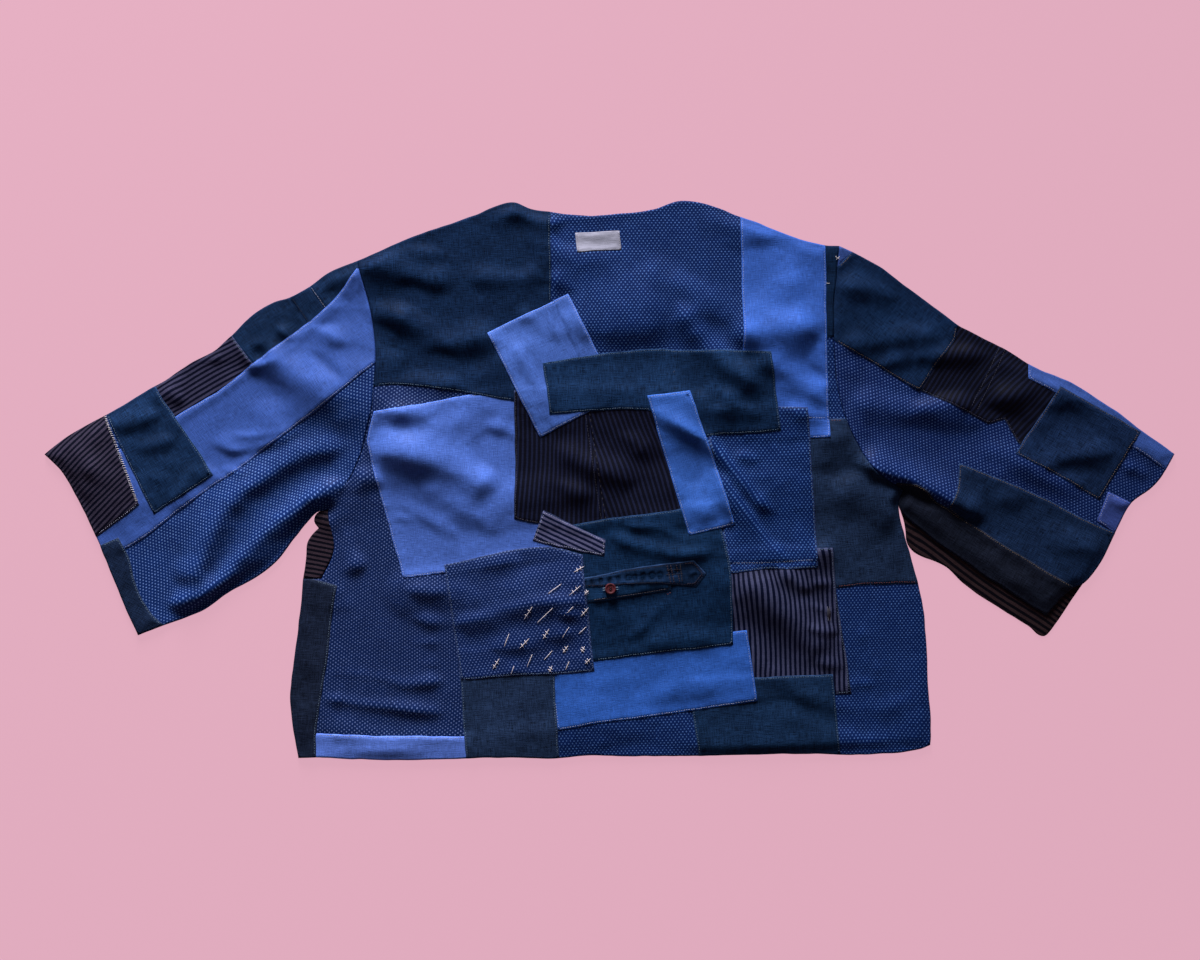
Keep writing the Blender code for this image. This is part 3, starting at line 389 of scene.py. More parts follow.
SCRAPS = (
    Scrap("strip_teal_shoulder", "teal_denim", "back", 2, 0.70,
          [(202, 530), (240, 530), (240, 420), (202, 427)]),
    Scrap("patch_teal_side", "teal_denim", "back", 4, (1.97, 1.17, 0.97),
          [(190, 342), (262, 342), (322, 262), (322, 178), (260, 176), (227, 172), (194, 172)]),
    Scrap("patch_blue_left", "blue_chambray", "back", 88, (1.18, 1.10, 1.07),
          [(-236, 349), (-74, 377), (-54, 204), (-207, 182), (-243, 318)]),
    Scrap("yoke_teal", "teal_denim", "back", 3, (0.82, 0.77, 0.80),
          [(-262, 500), (-262, 572), (-59, 572), (-59, 358), (-94, 360), (-154, 369), (-212, 376),
           (-240, 373)]),
    Scrap("strip_blue_shoulder", "blue_chambray", "back", 0, (0.62, 0.85, 0.96),
          [(131, 556), (215, 556), (220, 323), (136, 323)]),
    Scrap("patch_dark_stripe", "dark_stripe", "back", 88, (0.76, 0.68, 0.71),
          [(-95, 370), (75, 371), (91, 239), (-10, 232), (-70, 237), (-95, 242)]),
    Scrap("patch_grey_stripe", "grey_stripe", "back", 94, (1.00, 1.07, 1.12),
          [(112, 208), (223, 213), (229, 160), (242, 67), (130, 63)]),
    Scrap("patch_dot_right", "dotted_indigo", "back", 1, (0.44, 0.58, 0.66),
          [(95, 352), (198, 354), (209, 193), (120, 188)]),
    Scrap("patch_teal_hem_right", "teal_denim", "back", 3, (1.28, 1.15, 1.07),
          [(80, 80), (223, 86), (233, -6), (91, -6)]),
    Scrap("strip_blue_low", "blue_chambray", "back", 8, (0.47, 0.82, 0.94),
          [(-59, 100), (137, 130), (147, 60), (-52, 31)]),
    Scrap("strip_blue_hem", "blue_chambray", "back", 0, (1.81, 1.49, 1.37),
          [(-304, 26), (-134, 23), (-134, -8), (-304, -8)]),
    Scrap("patch_teal_hem_centre", "teal_denim", "back", 2, (2.40, 1.37, 1.13),
          [(-151, 108), (-57, 113), (-49, -8), (-143, -8)]),
    Scrap("strip_teal_side", "teal_denim", "back", 86, (1.60, 0.72, 0.55),
          [(-322, 190), (-272, 174), (-288, 70), (-294, 26), (-294, -8), (-330, -8)]),
    Scrap("patch_teal_placket", "teal_denim", "back", 4, (0.81, 0.95, 0.95),
          [(-43, 235), (107, 257), (121, 190), (123, 116), (-31, 98)]),
    Scrap("placket_underlap", "teal_denim", "back", 3, (1.3, 1.45, 1.35),
          [(-33, 179), (62, 178), (61, 170), (-33, 156)]),
    Scrap("placket_strap", "teal_denim", "back", 6, (0.88, 0.80, 0.77),
          [(-33, 182), (55, 197), (84, 200), (96, 187), (86, 174), (50, 176), (-33, 173)]),
    Scrap("patch_dot_darned", "dotted_indigo", "back", 7.5, (0.67, 0.58, 0.59),
          [(-166, 196), (-60, 214), (-27, 206), (-15, 90), (-148, 80)]),
    Scrap("patch_blue_tilted", "blue_chambray", "back", 25, (1.06, 1.04, 0.99),
          [(-122, 428), (-42, 467), (11, 366), (-69, 323)]),
    Scrap("band_teal", "teal_denim", "back", 2, 1.06,
          [(-67, 397), (-13, 407), (64, 411), (161, 409), (171, 330), (70, 322), (66, 348), (12, 351),
           (-60, 346)]),
    Scrap("strip_blue_tilted", "blue_chambray", "back", -72, (0.60, 0.88, 0.94),
          [(37, 364), (81, 370), (126, 236), (80, 226)]),
    Scrap("scrap_grey_stripe", "grey_stripe", "back", -27, (2.00, 1.95, 1.93),
          [(-65, 250), (-4, 220), (-6, 204), (-77, 220)]),
    Scrap("neck_label", "label_cotton", "back", -1, 1.0,
          [(-34, 528), (10, 530), (12, 511), (-32, 508)]),
    Scrap("sleeve_left_teal_top", "teal_denim", "sleeve_left", 36, (0.88, 0.79, 0.79),
          [(-247, 510), (-247, 475), (-334, 400), (-355, 394), (-381, 425), (-388, 436), (-310, 491)]),
    Scrap("sleeve_left_stripe", "grey_stripe", "sleeve_left", 29, (0.76, 0.71, 0.74),
          [(-387, 435), (-378, 425), (-352, 392), (-439, 332), (-462, 381)]),
    Scrap("sleeve_left_blue", "blue_chambray", "sleeve_left", 37, (0.68, 0.70, 0.73),
          [(-252, 492), (-225, 492), (-225, 406), (-306, 340), (-418, 260), (-482, 214), (-524, 200),
           (-524, 290), (-434, 344), (-379, 378), (-338, 412), (-282, 455), (-265, 473)]),
    Scrap("sleeve_left_teal_square", "teal_denim", "sleeve_left", 32, (1.02, 0.95, 0.96),
          [(-510, 360), (-464, 389), (-396, 286), (-456, 246)]),
    Scrap("cuff_left_stripe", "grey_stripe", "sleeve_left", 45, (0.76, 0.61, 0.55),
          [(-580, 300), (-505, 351), (-470, 256), (-520, 219)]),
    Scrap("cuff_left_teal", "teal_denim", "sleeve_left", 60, (1.40, 0.80, 0.70),
          [(-520, 211), (-491, 224), (-481, 205), (-475, 181), (-467, 161), (-458, 147), (-446, 135),
           (-446, 118), (-485, 118)]),
    Scrap("shoulder_scrap_blue", "blue_chambray", "sleeve_right", 0, 0.47,
          [(224, 520), (248, 512), (224, 490)]),
    Scrap("sleeve_right_dark_stripe", "dark_stripe", "sleeve_right", 57, (0.59, 0.56, 0.58),
          [(326, 470), (430, 406), (456, 360), (420, 310), (409, 318), (396, 341), (379, 336),
           (355, 349), (302, 375)]),
    Scrap("sleeve_right_teal_cap", "teal_denim", "sleeve_right", -38, (0.91, 0.84, 0.88),
          [(218, 488), (229, 496), (241, 510), (252, 540), (366, 450), (348, 433), (346, 422),
           (326, 395), (310, 370), (226, 420), (215, 428)]),
    Scrap("sleeve_right_blue_edge", "blue_chambray", "sleeve_right", -30, 0.72,
          [(419, 410), (419, 383), (446, 368), (490, 335), (526, 312), (580, 274), (590, 320)]),
    Scrap("sleeve_right_teal_square", "teal_denim", "sleeve_right", -30, (1.37, 1.02, 1.04),
          [(451, 375), (532, 330), (491, 261), (406, 307)]),
    Scrap("cuff_right_blue", "blue_chambray", "sleeve_right", -30, (0.66, 0.51, 0.54),
          [(500, 269), (532, 253), (515, 222), (488, 241)]),
    Scrap("sleeve_right_teal_upper", "teal_denim", "sleeve_right", -27, (1.25, 0.93, 0.90),
          [(350, 296), (413, 272), (507, 228), (520, 222), (488, 160), (465, 168), (400, 208),
           (337, 252), (348, 274)]),
    Scrap("sleeve_right_teal_lower", "teal_denim", "sleeve_right", -30, (1.44, 0.55, 0.36),
          [(286, 278), (296, 277), (306, 276), (316, 270), (326, 259), (338, 252), (401, 212),
           (466, 172), (438, 140), (420, 130), (280, 220), (280, 262)]),
)

# Seams inside a piece: where each runs, and the grain of the cloth to the right of it, if that turns.
Seam = namedtuple("Seam", "on start end grain")
SEAMS = (
    Seam("patch_dark_stripe", (-26, 376), (-3, 228), 108),
    Seam("band_teal", (63.5, 420), (63.5, 340), None),
    Seam("sleeve_right_dark_stripe", (399, 432), (356, 341), 47),
    Seam("sleeve_left_teal_top", (-306, 482), (-282, 448), None),
    Seam("sleeve_left_teal_top", (-325, 470), (-302, 437), None),
    Seam("patch_blue_tilted", (-58, 462), (-31, 402), None),
    Seam("strip_blue_shoulder", (132, 342.5), (224, 341.5), None),
    Seam("patch_dot_right", (112, 196), (212, 200), None),
)

# Extra lines of sewing over the pieces: the thread, its radius, the stitches' pitch and length, the line.
Sewn = namedtuple("Sewn", "on thread radius pitch length line")
SEWN = (
    Sewn("sleeve_left_teal_top", "pale", 0.15, 2.4, 2.0, [(-304, 481), (-280, 447)]),
    Sewn("sleeve_left_teal_top", "dark", 0.18, 2.4, 2.1, [(-323, 470), (-300, 437)]),
    Sewn("sleeve_right_dark_stripe", "dull", 0.13, 2.2, 1.7, [(391, 415), (376, 382), (362, 354)]),
    Sewn("sleeve_right_dark_stripe", "dull", 0.13, 2.2, 1.7, [(397, 413), (382, 380), (368, 351)]),
    Sewn("patch_dark_stripe", "dark", 0.34, 6.1, 3.2, [(-20, 349), (-12, 295), (-3.5, 240)]),
    Sewn("patch_dark_stripe", "dull", 0.12, 2.6, 2.0, [(-24.5, 349), (-16.5, 295), (-8, 240)]),
    Sewn("strip_blue_shoulder", "pale", 0.15, 2.5, 2.0, [(138, 343.8), (178, 343.6), (216, 342.6)]),
    Sewn("patch_dot_right", "pale", 0.14, 2.5, 1.9, [(123, 197.5), (165, 198.5), (204, 201)]),
    Sewn("band_teal", "dull", 0.14, 9.0, 3.2, [(62, 386), (66, 391)]),
    Sewn("placket_strap", "maroon", 0.55, 2.2, 1.95, [(57.5, 195.5), (61.5, 177)]),
    Sewn("placket_strap", "maroon", 0.55, 2.2, 1.95, [(61, 195.8), (64.8, 177)]),
    Sewn("placket_strap", "maroon", 0.55, 2.2, 1.95, [(66.5, 196.4), (70.5, 177)]),
    Sewn("placket_strap", "dark", 0.55, 2.2, 1.95, [(70.5, 197), (73, 177)]),
    Sewn("placket_strap", "dark", 0.45, 2.4, 2.1, [(56, 186), (66, 186.4), (74, 187)]),
    Sewn("placket_strap", "dark", 0.4, 2.4, 2.1, [(56, 190.5), (66, 191), (73, 191.4)]),
    Sewn("placket_strap", "maroon", 0.32, 2.2, 1.9, [(75, 197), (84, 197.6), (92.5, 187), (85, 177.2), (76, 177)]),
    Sewn("placket_strap", "dark", 0.22, 2.3, 1.9, [(-32, 183.5), (0, 187), (30, 191.2), (54, 194.6)]),
    Sewn("placket_strap", "dark", 0.22, 2.3, 1.9, [(-32, 175), (0, 176), (30, 177.6), (54, 178.4)]),
    Sewn("placket_underlap", "dull", 0.3, 2.4, 2.35, [(-16, 160.8), (18, 165.2), (44, 169.3), (58, 171.8)]),
    Sewn("patch_teal_placket", "rust", 0.20, 2.4, 2.0, [(62, 168.5), (57, 165.4)]),
    Sewn("neck_label", "rust", 0.12, 1.7, 1.1, [(-32.6, 527), (-30.8, 509.3)]),
    Sewn("neck_label", "white", 0.12, 1.7, 1.1, [(9, 529), (10.8, 512)]),
    Sewn("strip_teal_shoulder", "white", 0.24, 9.0, 4.4, [(215, 477.6), (221, 477.2)]),
)

# Edges sewn over with slanting stitches, and buttonholes: middle, direction in degrees, length.
WHIPPED = (("cuff_left_stripe", [(-505, 345), (-489, 306), (-472, 259)], 2.3, 3.0, "white"),)
BUTTONHOLES = (
    ("patch_grey_stripe", (219.6, 147), 94, 14.0, "dull"), ("placket_strap", (1.0, 171.7), 3, 15.0, "grey"),
)
TACKS = (((225.6, 504.8), (231.6, 500.2)), ((226.4, 500.6), (230.8, 504.6)))

# White darning strokes on the darned scrap: each from start to end, some crossed by small ticks.
Darn = namedtuple("Darn", "start end crossed")
DARNS = (
    Darn((-35.5, 188.5), (-26, 194), True),
    Darn((-61.5, 167), (-48.5, 176.5), False),
    Darn((-40, 165.5), (-29.5, 174.5), True),
    Darn((-25, 166), (-21, 170), True),
    Darn((-77, 154), (-85.5, 141), True),
    Darn((-72.5, 137.5), (-57, 152.5), False),
    Darn((-45.5, 144.5), (-36.5, 154), False),
    Darn((-28.5, 144.5), (-21.5, 152.5), True),
    Darn((-100.5, 126.5), (-105.5, 113.5), False),
    Darn((-80.5, 122), (-90, 112), True),
    Darn((-60.5, 131.5), (-66.5, 121.5), True),
    Darn((-40.5, 133.5), (-47, 123), False),
    Darn((-23.5, 133.5), (-31, 126.5), False),
    Darn((-110.5, 101.5), (-117, 91), True),
    Darn((-77.5, 105.5), (-82.5, 93.5), False),
    Darn((-57.5, 109.5), (-65.5, 100.5), False),
    Darn((-41.5, 114.5), (-47, 107.5), True),
    Darn((-25, 114), (-28, 108), True),
    Darn((-95.5, 94.5), (-98.5, 86), False),
    Darn((-57.5, 94.5), (-60.5, 88), True),
    Darn((-40.5, 99), (-44, 90.5), False),
    Darn((-19, 102), (-24.5, 96.5), True),
)

Stripes = namedtuple("Stripes", "ground stripe share")
Dots = namedtuple("Dots", "ground dot row_pitch dot_pitch radius")

DOTTED = Dots((0.003, 0.0185, 0.108), (0.125, 0.223, 0.528), 2.5, 3.75, 0.68)
PLAIN = {"blue_chambray": (0.040, 0.092, 0.356), "teal_denim": (0.0046, 0.0162, 0.0505)}
STRIPED = {
    "grey_stripe": Stripes((0.037, 0.038, 0.080), (0.0009, 0.0022, 0.0112), 0.50),
    "dark_stripe": Stripes((0.0025, 0.0035, 0.009), (0.009, 0.0135, 0.040), 0.42),
}
LABEL_COTTON = (0.22, 0.22, 0.30)
THREAD_COLOURS = {
    "pale": (0.38, 0.40, 0.55), "grey": (0.125, 0.185, 0.275), "dull": (0.07, 0.07, 0.105),
    "tan": (0.19, 0.13, 0.085), "maroon": (0.011, 0.0045, 0.013), "rust": (0.20, 0.055, 0.045),
    "dark": (0.0035, 0.004, 0.010), "white": (0.60, 0.55, 0.60),
}
CLOTH_THREADS = {
    "blue_chambray": "pale", "teal_denim": "grey", "dotted_indigo": "grey", "grey_stripe": "grey",
    "dark_stripe": "dull",
}
OWN_THREADS = {
    "scrap_grey_stripe": "pale", "cuff_left_stripe": "pale",
    "band_teal": "grey", "patch_teal_side": "rust", "sleeve_right_teal_square": "tan",
    "sleeve_right_teal_upper": "tan", "sleeve_right_teal_lower": "tan", "sleeve_right_teal_cap": "tan",
    "sleeve_left_teal_top": "dark", "placket_underlap": "dark", "placket_strap": "maroon",
}
DARN_COLOUR = (0.62, 0.55, 0.60)
RESIN = (0.040, 0.0075, 0.011)
BUTTON_THREAD = (0.012, 0.007, 0.013)
FLOOR = (0.753, 0.413, 0.521)


# ---------------------------------------------------------------------------------------------------
# Outlines


def smoothstep(t):
    """0 to 1 over t from 0 to 1, level at both ends."""
    t = np.clip(t, 0.0, 1.0)
    return t * t * (3 - 2 * t)


def traced(points, closed=True, step=RING_STEP, corner=32.0):
    """A smooth run of points through the given ones, with its sharp corners kept."""
    given = [Vector(p) for p in points]
    count = len(given)
    sides = range(count if closed else count - 1)
    found = []
    for i in sides:
        a, b = given[i], given[(i + 1) % count]
        run = b - a
        pulls = []
        for here, before, after in ((i, i - 1, i + 1), ((i + 1) % count, i, i + 2)):
            first = given[here] - given[before % count]
            second = given[after % count] - given[here]
            loose = not closed and here in (0, count - 1) or first.length == 0 or second.length == 0
            if loose or first.angle(second) > radians(corner):
                pulls.append(run)
            else:
                pulls.append((first.normalized() + second.normalized()).normalized() * run.length)
        steps = max(1, round(run.length / step))
        for k in range(steps):
            t = k / steps
            point = (
                (2 * t**3 - 3 * t**2 + 1) * a + (t**3 - 2 * t**2 + t) * pulls[0]
                + (3 * t**2 - 2 * t**3) * b + (t**3 - t**2) * pulls[1]
            )
            found.append((point.x, point.y))
    if not closed:
        found.append((given[-1].x, given[-1].y))
    return np.array(found)


def inside(ring, points):
    """Which of the points lie within a closed ring."""
    points = np.asarray(points, float).reshape(-1, 2)
    a, b = ring, np.roll(ring, -1, axis=0)
    found = np.zeros(len(points), bool)
    for first in range(0, len(points), 4096):
        x, y = points[first : first + 4096, :1], points[first : first + 4096, 1:]
        crosses = (a[:, 1] > y) != (b[:, 1] > y)
        rise = np.where(b[:, 1] == a[:, 1], 1e-9, b[:, 1] - a[:, 1])
        at = a[:, 0] + (y - a[:, 1]) * (b[:, 0] - a[:, 0]) / rise
        found[first : first + 4096] = (crosses & (x < at)).sum(axis=1) % 2 == 1
    return found


def area_of(ring):
    """The area within a ring, negative where it runs clockwise."""
    a, b = ring, np.roll(ring, -1, axis=0)
    return float((a[:, 0] * b[:, 1] - b[:, 0] * a[:, 1]).sum() / 2)


def triangulated(points, lines, rings):
    """(points, triangles) over the points and lines, kept where they lie within every ring."""
    made = delaunay_2d_cdt([Vector(p) for p in points], lines, [], 0, 1e-4)
    places = np.array([(p.x, p.y) for p in made[0]])
    triangles = np.array(made[2])
    corners = places[triangles]
    first, second = corners[:, 1] - corners[:, 0], corners[:, 2] - corners[:, 0]
    twice = first[:, 0] * second[:, 1] - first[:, 1] * second[:, 0]
    kept = np.abs(twice) > 1e-3
    for ring in rings:
        kept &= inside(ring, corners.mean(axis=1))
    triangles[twice < 0] = triangles[twice < 0][:, ::-1]
    triangles = triangles[kept]
    used, order = np.unique(triangles, return_inverse=True)
    return places[used], order.reshape(-1, 3)


def rim_of(triangles):
    """The directed edges that only one triangle has."""
    edges = np.concatenate([triangles[:, [0, 1]], triangles[:, [1, 2]], triangles[:, [2, 0]]])
    key = edges[:, 0].astype(np.int64) * 10_000_000 + edges[:, 1]
    mirrored = edges[:, 1].astype(np.int64) * 10_000_000 + edges[:, 0]
    return edges[~np.isin(key, mirrored)]


def closed_lines(count, first=0):
    """Pairs of neighbours round a ring of that many points."""
    return [(first + i, first + (i + 1) % count) for i in range(count)]


def clipped(ring, limit):
    """The part of a ring within another ring, as one ring."""
    if inside(limit, ring).all():
        return ring
    points = [*ring, *limit]
    lines = closed_lines(len(ring)) + closed_lines(len(limit), len(ring))
    places, triangles = triangulated(points, lines, [ring, limit])
    follows = dict(rim_of(triangles).tolist())
    best = []
    while follows:
        start, here = follows.popitem()
        loop = [start]
        while here in follows:
            loop.append(here)
            here = follows.pop(here)
        if len(loop) > len(best):
            best = loop
    loop = places[best]
    return loop[::-1] if area_of(loop) < 0 else loop


def tree_of(points):
    """A search tree over points."""
    tree = kdtree.KDTree(len(points))
    for i, (x, y) in enumerate(points):
        tree.insert((x, y, 0.0), i)
    tree.balance()
    return tree


class Edge:
    """A ring that can be asked how far points are from it, and where along it they are nearest."""

    def __init__(self, ring):
        self.ring = ring
        self.run = np.roll(ring, -1, axis=0) - ring
        self.length = np.maximum(np.hypot(*self.run.T), 1e-9)
        self.start = np.concatenate([[0.0], np.cumsum(self.length)[:-1]])
        self.tree = tree_of(ring)

    def to_side(self, points, sides):
        """(distance, place along the ring) of each point from the side given for it."""
        offset = points - self.ring[sides]
        along = np.clip((offset * self.run[sides]).sum(axis=1) / self.length[sides] ** 2, 0, 1)
        gap = offset - along[:, None] * self.run[sides]
        return np.hypot(*gap.T), self.start[sides] + along * self.length[sides]

    def nearest(self, points):
        """(distance, place along the ring, index of the nearest ring point) for each point."""
        points = np.asarray(points, float)
        index = np.array([self.tree.find((x, y, 0.0))[1] for x, y in points], int)
        here = self.to_side(points, index)
        before = self.to_side(points, (index - 1) % len(self.ring))
        closer = before[0] < here[0]
        return np.where(closer, before[0], here[0]), np.where(closer, before[1], here[1]), index

    def inward(self):
        """The direction into the ring at each of its points."""
        around = np.roll(self.ring, -1, axis=0) - np.roll(self.ring, 1, axis=0)
        across = np.column_stack([-around[:, 1], around[:, 0]])
        across /= np.maximum(np.hypot(*across.T), 1e-9)[:, None]
        return across if area_of(self.ring) > 0 else -across

    def inset(self, depth, tolerance=0.12):
        """Points that lie that deep inside the ring, in order, and which ring point each came from."""
        points = self.ring + depth * self.inward()
        kept = (self.nearest(points)[0] > depth - tolerance) & inside(self.ring, points)
        return points[kept], np.nonzero(kept)[0]


# ---------------------------------------------------------------------------------------------------
# Fields of heights

grid_x = GRID_LOW[0] + CELL * np.arange(GRID_SHAPE[1])
grid_y = GRID_LOW[1] + CELL * np.arange(GRID_SHAPE[0])
waves_x = np.fft.rfftfreq(GRID_SHAPE[1], CELL)
waves_y = np.fft.fftfreq(GRID_SHAPE[0], CELL)


class Field:
    """Values on the grid, or on a window of it, read between its cells."""

    def __init__(self, values, row=0, column=0):
        self.values = values
        self.row = row
        self.column = column

    def at(self, points):
        """The values at points."""
        column = (points[:, 0] - GRID_LOW[0]) / CELL - self.column
        row = (points[:, 1] - GRID_LOW[1]) / CELL - self.row
        rows, columns = self.values.shape
        column = np.clip(column, 0, columns - 1.001)
        row = np.clip(row, 0, rows - 1.001)
        i, j = row.astype(int), column.astype(int)
        v, u = row - i, column - j
        low = self.values[i, j] * (1 - u) + self.values[i, j + 1] * u
        high = self.values[i + 1, j] * (1 - u) + self.values[i + 1, j + 1] * u
        return low * (1 - v) + high * v


def smoothed(values, sigma_x, sigma_y=None):
    """Values on the whole grid, blurred by that many millimetres."""
    sigma_y = sigma_y or sigma_x
    keep_x = np.exp(-2 * (pi * sigma_x * waves_x) ** 2)
    keep_y = np.exp(-2 * (pi * sigma_y * waves_y) ** 2)
    return np.fft.irfft2(np.fft.rfft2(values) * keep_y[:, None] * keep_x, s=values.shape)


def slack(seed, size_x, size_y=None):
    """Smooth random unevenness with features of that size, and a spread of 1."""
    values = smoothed(np.random.default_rng(seed).standard_normal(GRID_SHAPE), size_x, size_y)
    return values / values.std()


def crumpled(seed, size_x, size_y, height):
    """Unevenness with narrow crests and wide hollows, as in cloth that has been folded."""
    values = -np.abs(slack(seed, size_x, size_y))
    return height * smoothed(values - values.mean(), 1.5)


def window(low, high, margin):
    """Rows and columns of the grid that cover a box."""
    first = [max(0, int((low[k] - margin - GRID_LOW[k]) / CELL)) for k in (0, 1)]
    last = [int((high[k] + margin - GRID_LOW[k]) / CELL) + 2 for k in (0, 1)]
    return slice(first[1], min(last[1], GRID_SHAPE[0])), slice(first[0], min(last[0], GRID_SHAPE[1]))


def from_line(line, x, y):
    """(distance, side, share along) of grid points from a run of points."""
    best = np.full(x.shape, 1e9)
    side = np.zeros(x.shape)
    along = np.zeros(x.shape)
    lengths = np.hypot(*(line[1:] - line[:-1]).T)
    starts = np.concatenate([[0.0], np.cumsum(lengths)])
    for i, (a, b) in enumerate(zip(line[:-1], line[1:])):
        dx, dy = b - a
        t = np.clip(((x - a[0]) * dx + (y - a[1]) * dy) / (dx * dx + dy * dy), 0, 1)
        off_x, off_y = x - a[0] - t * dx, y - a[1] - t * dy
        distance = np.hypot(off_x, off_y)
        closer = distance < best
        best = np.where(closer, distance, best)
        side = np.where(closer, np.sign(dx * off_y - dy * off_x), side)
        along = np.where(closer, (starts[i] + t * lengths[i]) / starts[-1], along)
    return best, side, along


def add_crease(values, crease, row=0, column=0):
    """Adds a crease to values, which are a window of the grid that starts at that row and column."""
    line = traced(crease.line, closed=False, step=6.0, corner=80.0)
    reach = 2.4 * crease.width * (1 + abs(crease.lean))
    rows, columns = window(line.min(axis=0), line.max(axis=0), reach)
    rows = slice(max(rows.start, row), min(rows.stop, row + values.shape[0]))
    columns = slice(max(columns.start, column), min(columns.stop, column + values.shape[1]))
    if rows.start >= rows.stop or columns.start >= columns.stop:
        return
    x, y = np.meshgrid(grid_x[columns], grid_y[rows])
    distance, side, along = from_line(line, x, y)
    width = crease.width * (1 + crease.lean * side)
    length = np.hypot(*(line[1:] - line[:-1]).T).sum()
    taper = smoothstep(np.minimum(along, 1 - along) * length / min(26.0, 0.45 * length) + 0.04)
    width = width * (0.45 + 0.55 * taper)
    uneven = 1 + 0.18 * np.sin(9.0 * along + crease.width * 3.1 + crease.line[0][0])
    shape = np.exp(-1.5 * (distance / width) ** 2)
    part = (slice(rows.start - row, rows.stop - row), slice(columns.start - column, columns.stop - column))
    values[part] += CREASE_RISE * crease.height * taper * uneven * shape


def edge_distance():
    """Distance of every grid point from the jacket's free edges."""
    x, y = np.meshgrid(grid_x, grid_y)
    best = np.full(GRID_SHAPE, 1e9)
    for stretch in FREE_EDGES:
        line = traced(stretch, closed=False, step=14.0)
        best = np.minimum(best, from_line(line, x, y)[0])
    return best


to_edge = edge_distance()
wander = [Field(0.45 * slack(11 + k, 13) + 0.14 * slack(21 + k, 4)) for k in (0, 1)]

drape = np.zeros(GRID_SHAPE)
for crease in CREASES:
    add_crease(drape, crease)
drape += sum(wave.height * slack(wave.seed, wave.size_x, wave.size_y) for wave in SOFT_SLACK)
drape += sum(crumpled(*wave) for wave in CRUMPLED_SLACK)
loft = LOFT_AT_HEM + (LOFT_AT_SHOULDERS - LOFT_AT_HEM) * smoothstep((grid_y - LOFT_FROM) / LOFT_OVER)[:, None]
drape = loft * smoothstep(to_edge / EDGE_ROLL) + drape * smoothstep(to_edge / (0.8 * EDGE_ROLL))
drape = 0.5 * (drape + np.sqrt(drape**2 + 0.5))  # never below the surface, with a soft turn there
slope_y, slope_x = np.gradient(smoothed(drape, 2.2), CELL)
slope_fields = Field(slope_x), Field(slope_y)
bend_y, bend_x = np.gradient(slope_y, CELL, axis=0), np.gradient(slope_x, CELL, axis=1)
# Curvature of the drape, for the cloth's colour: crests are painted paler, as rubbed wear, and hollows darker, as
# painted shade.
wear_and_shade_field = Field(np.clip(-(bend_x + bend_y) * 9.0, -1, 1))
grain_shift = Field(1.3 * slack(41, 34)), Field(1.3 * slack(42, 34))


def wandered(ring):
    """A ring as hands cut it, a little off its line."""
    return ring + np.column_stack([wander[0].at(ring), wander[1].at(ring)])


def spread(values, cells):
    """Each value replaced by the highest one within that many cells."""
    best = values.copy()
    for di in range(-cells, cells + 1):
        for dj in range(-cells, cells + 1):
            if di * di + dj * dj <= cells * cells + 1:
                best = np.maximum(best, np.roll(values, (di, dj), axis=(0, 1)))
    return best


def softened(values, sigma):
    """A small window's values, blurred by that many cells."""
    taps = np.exp(-0.5 * (np.arange(-3, 4) / sigma) ** 2)
    taps /= taps.sum()
    for axis in (0, 1):
        values = sum(tap * np.roll(values, k - 3, axis=axis) for k, tap in enumerate(taps))
    return values


# ---------------------------------------------------------------------------------------------------
# Pieces of cloth


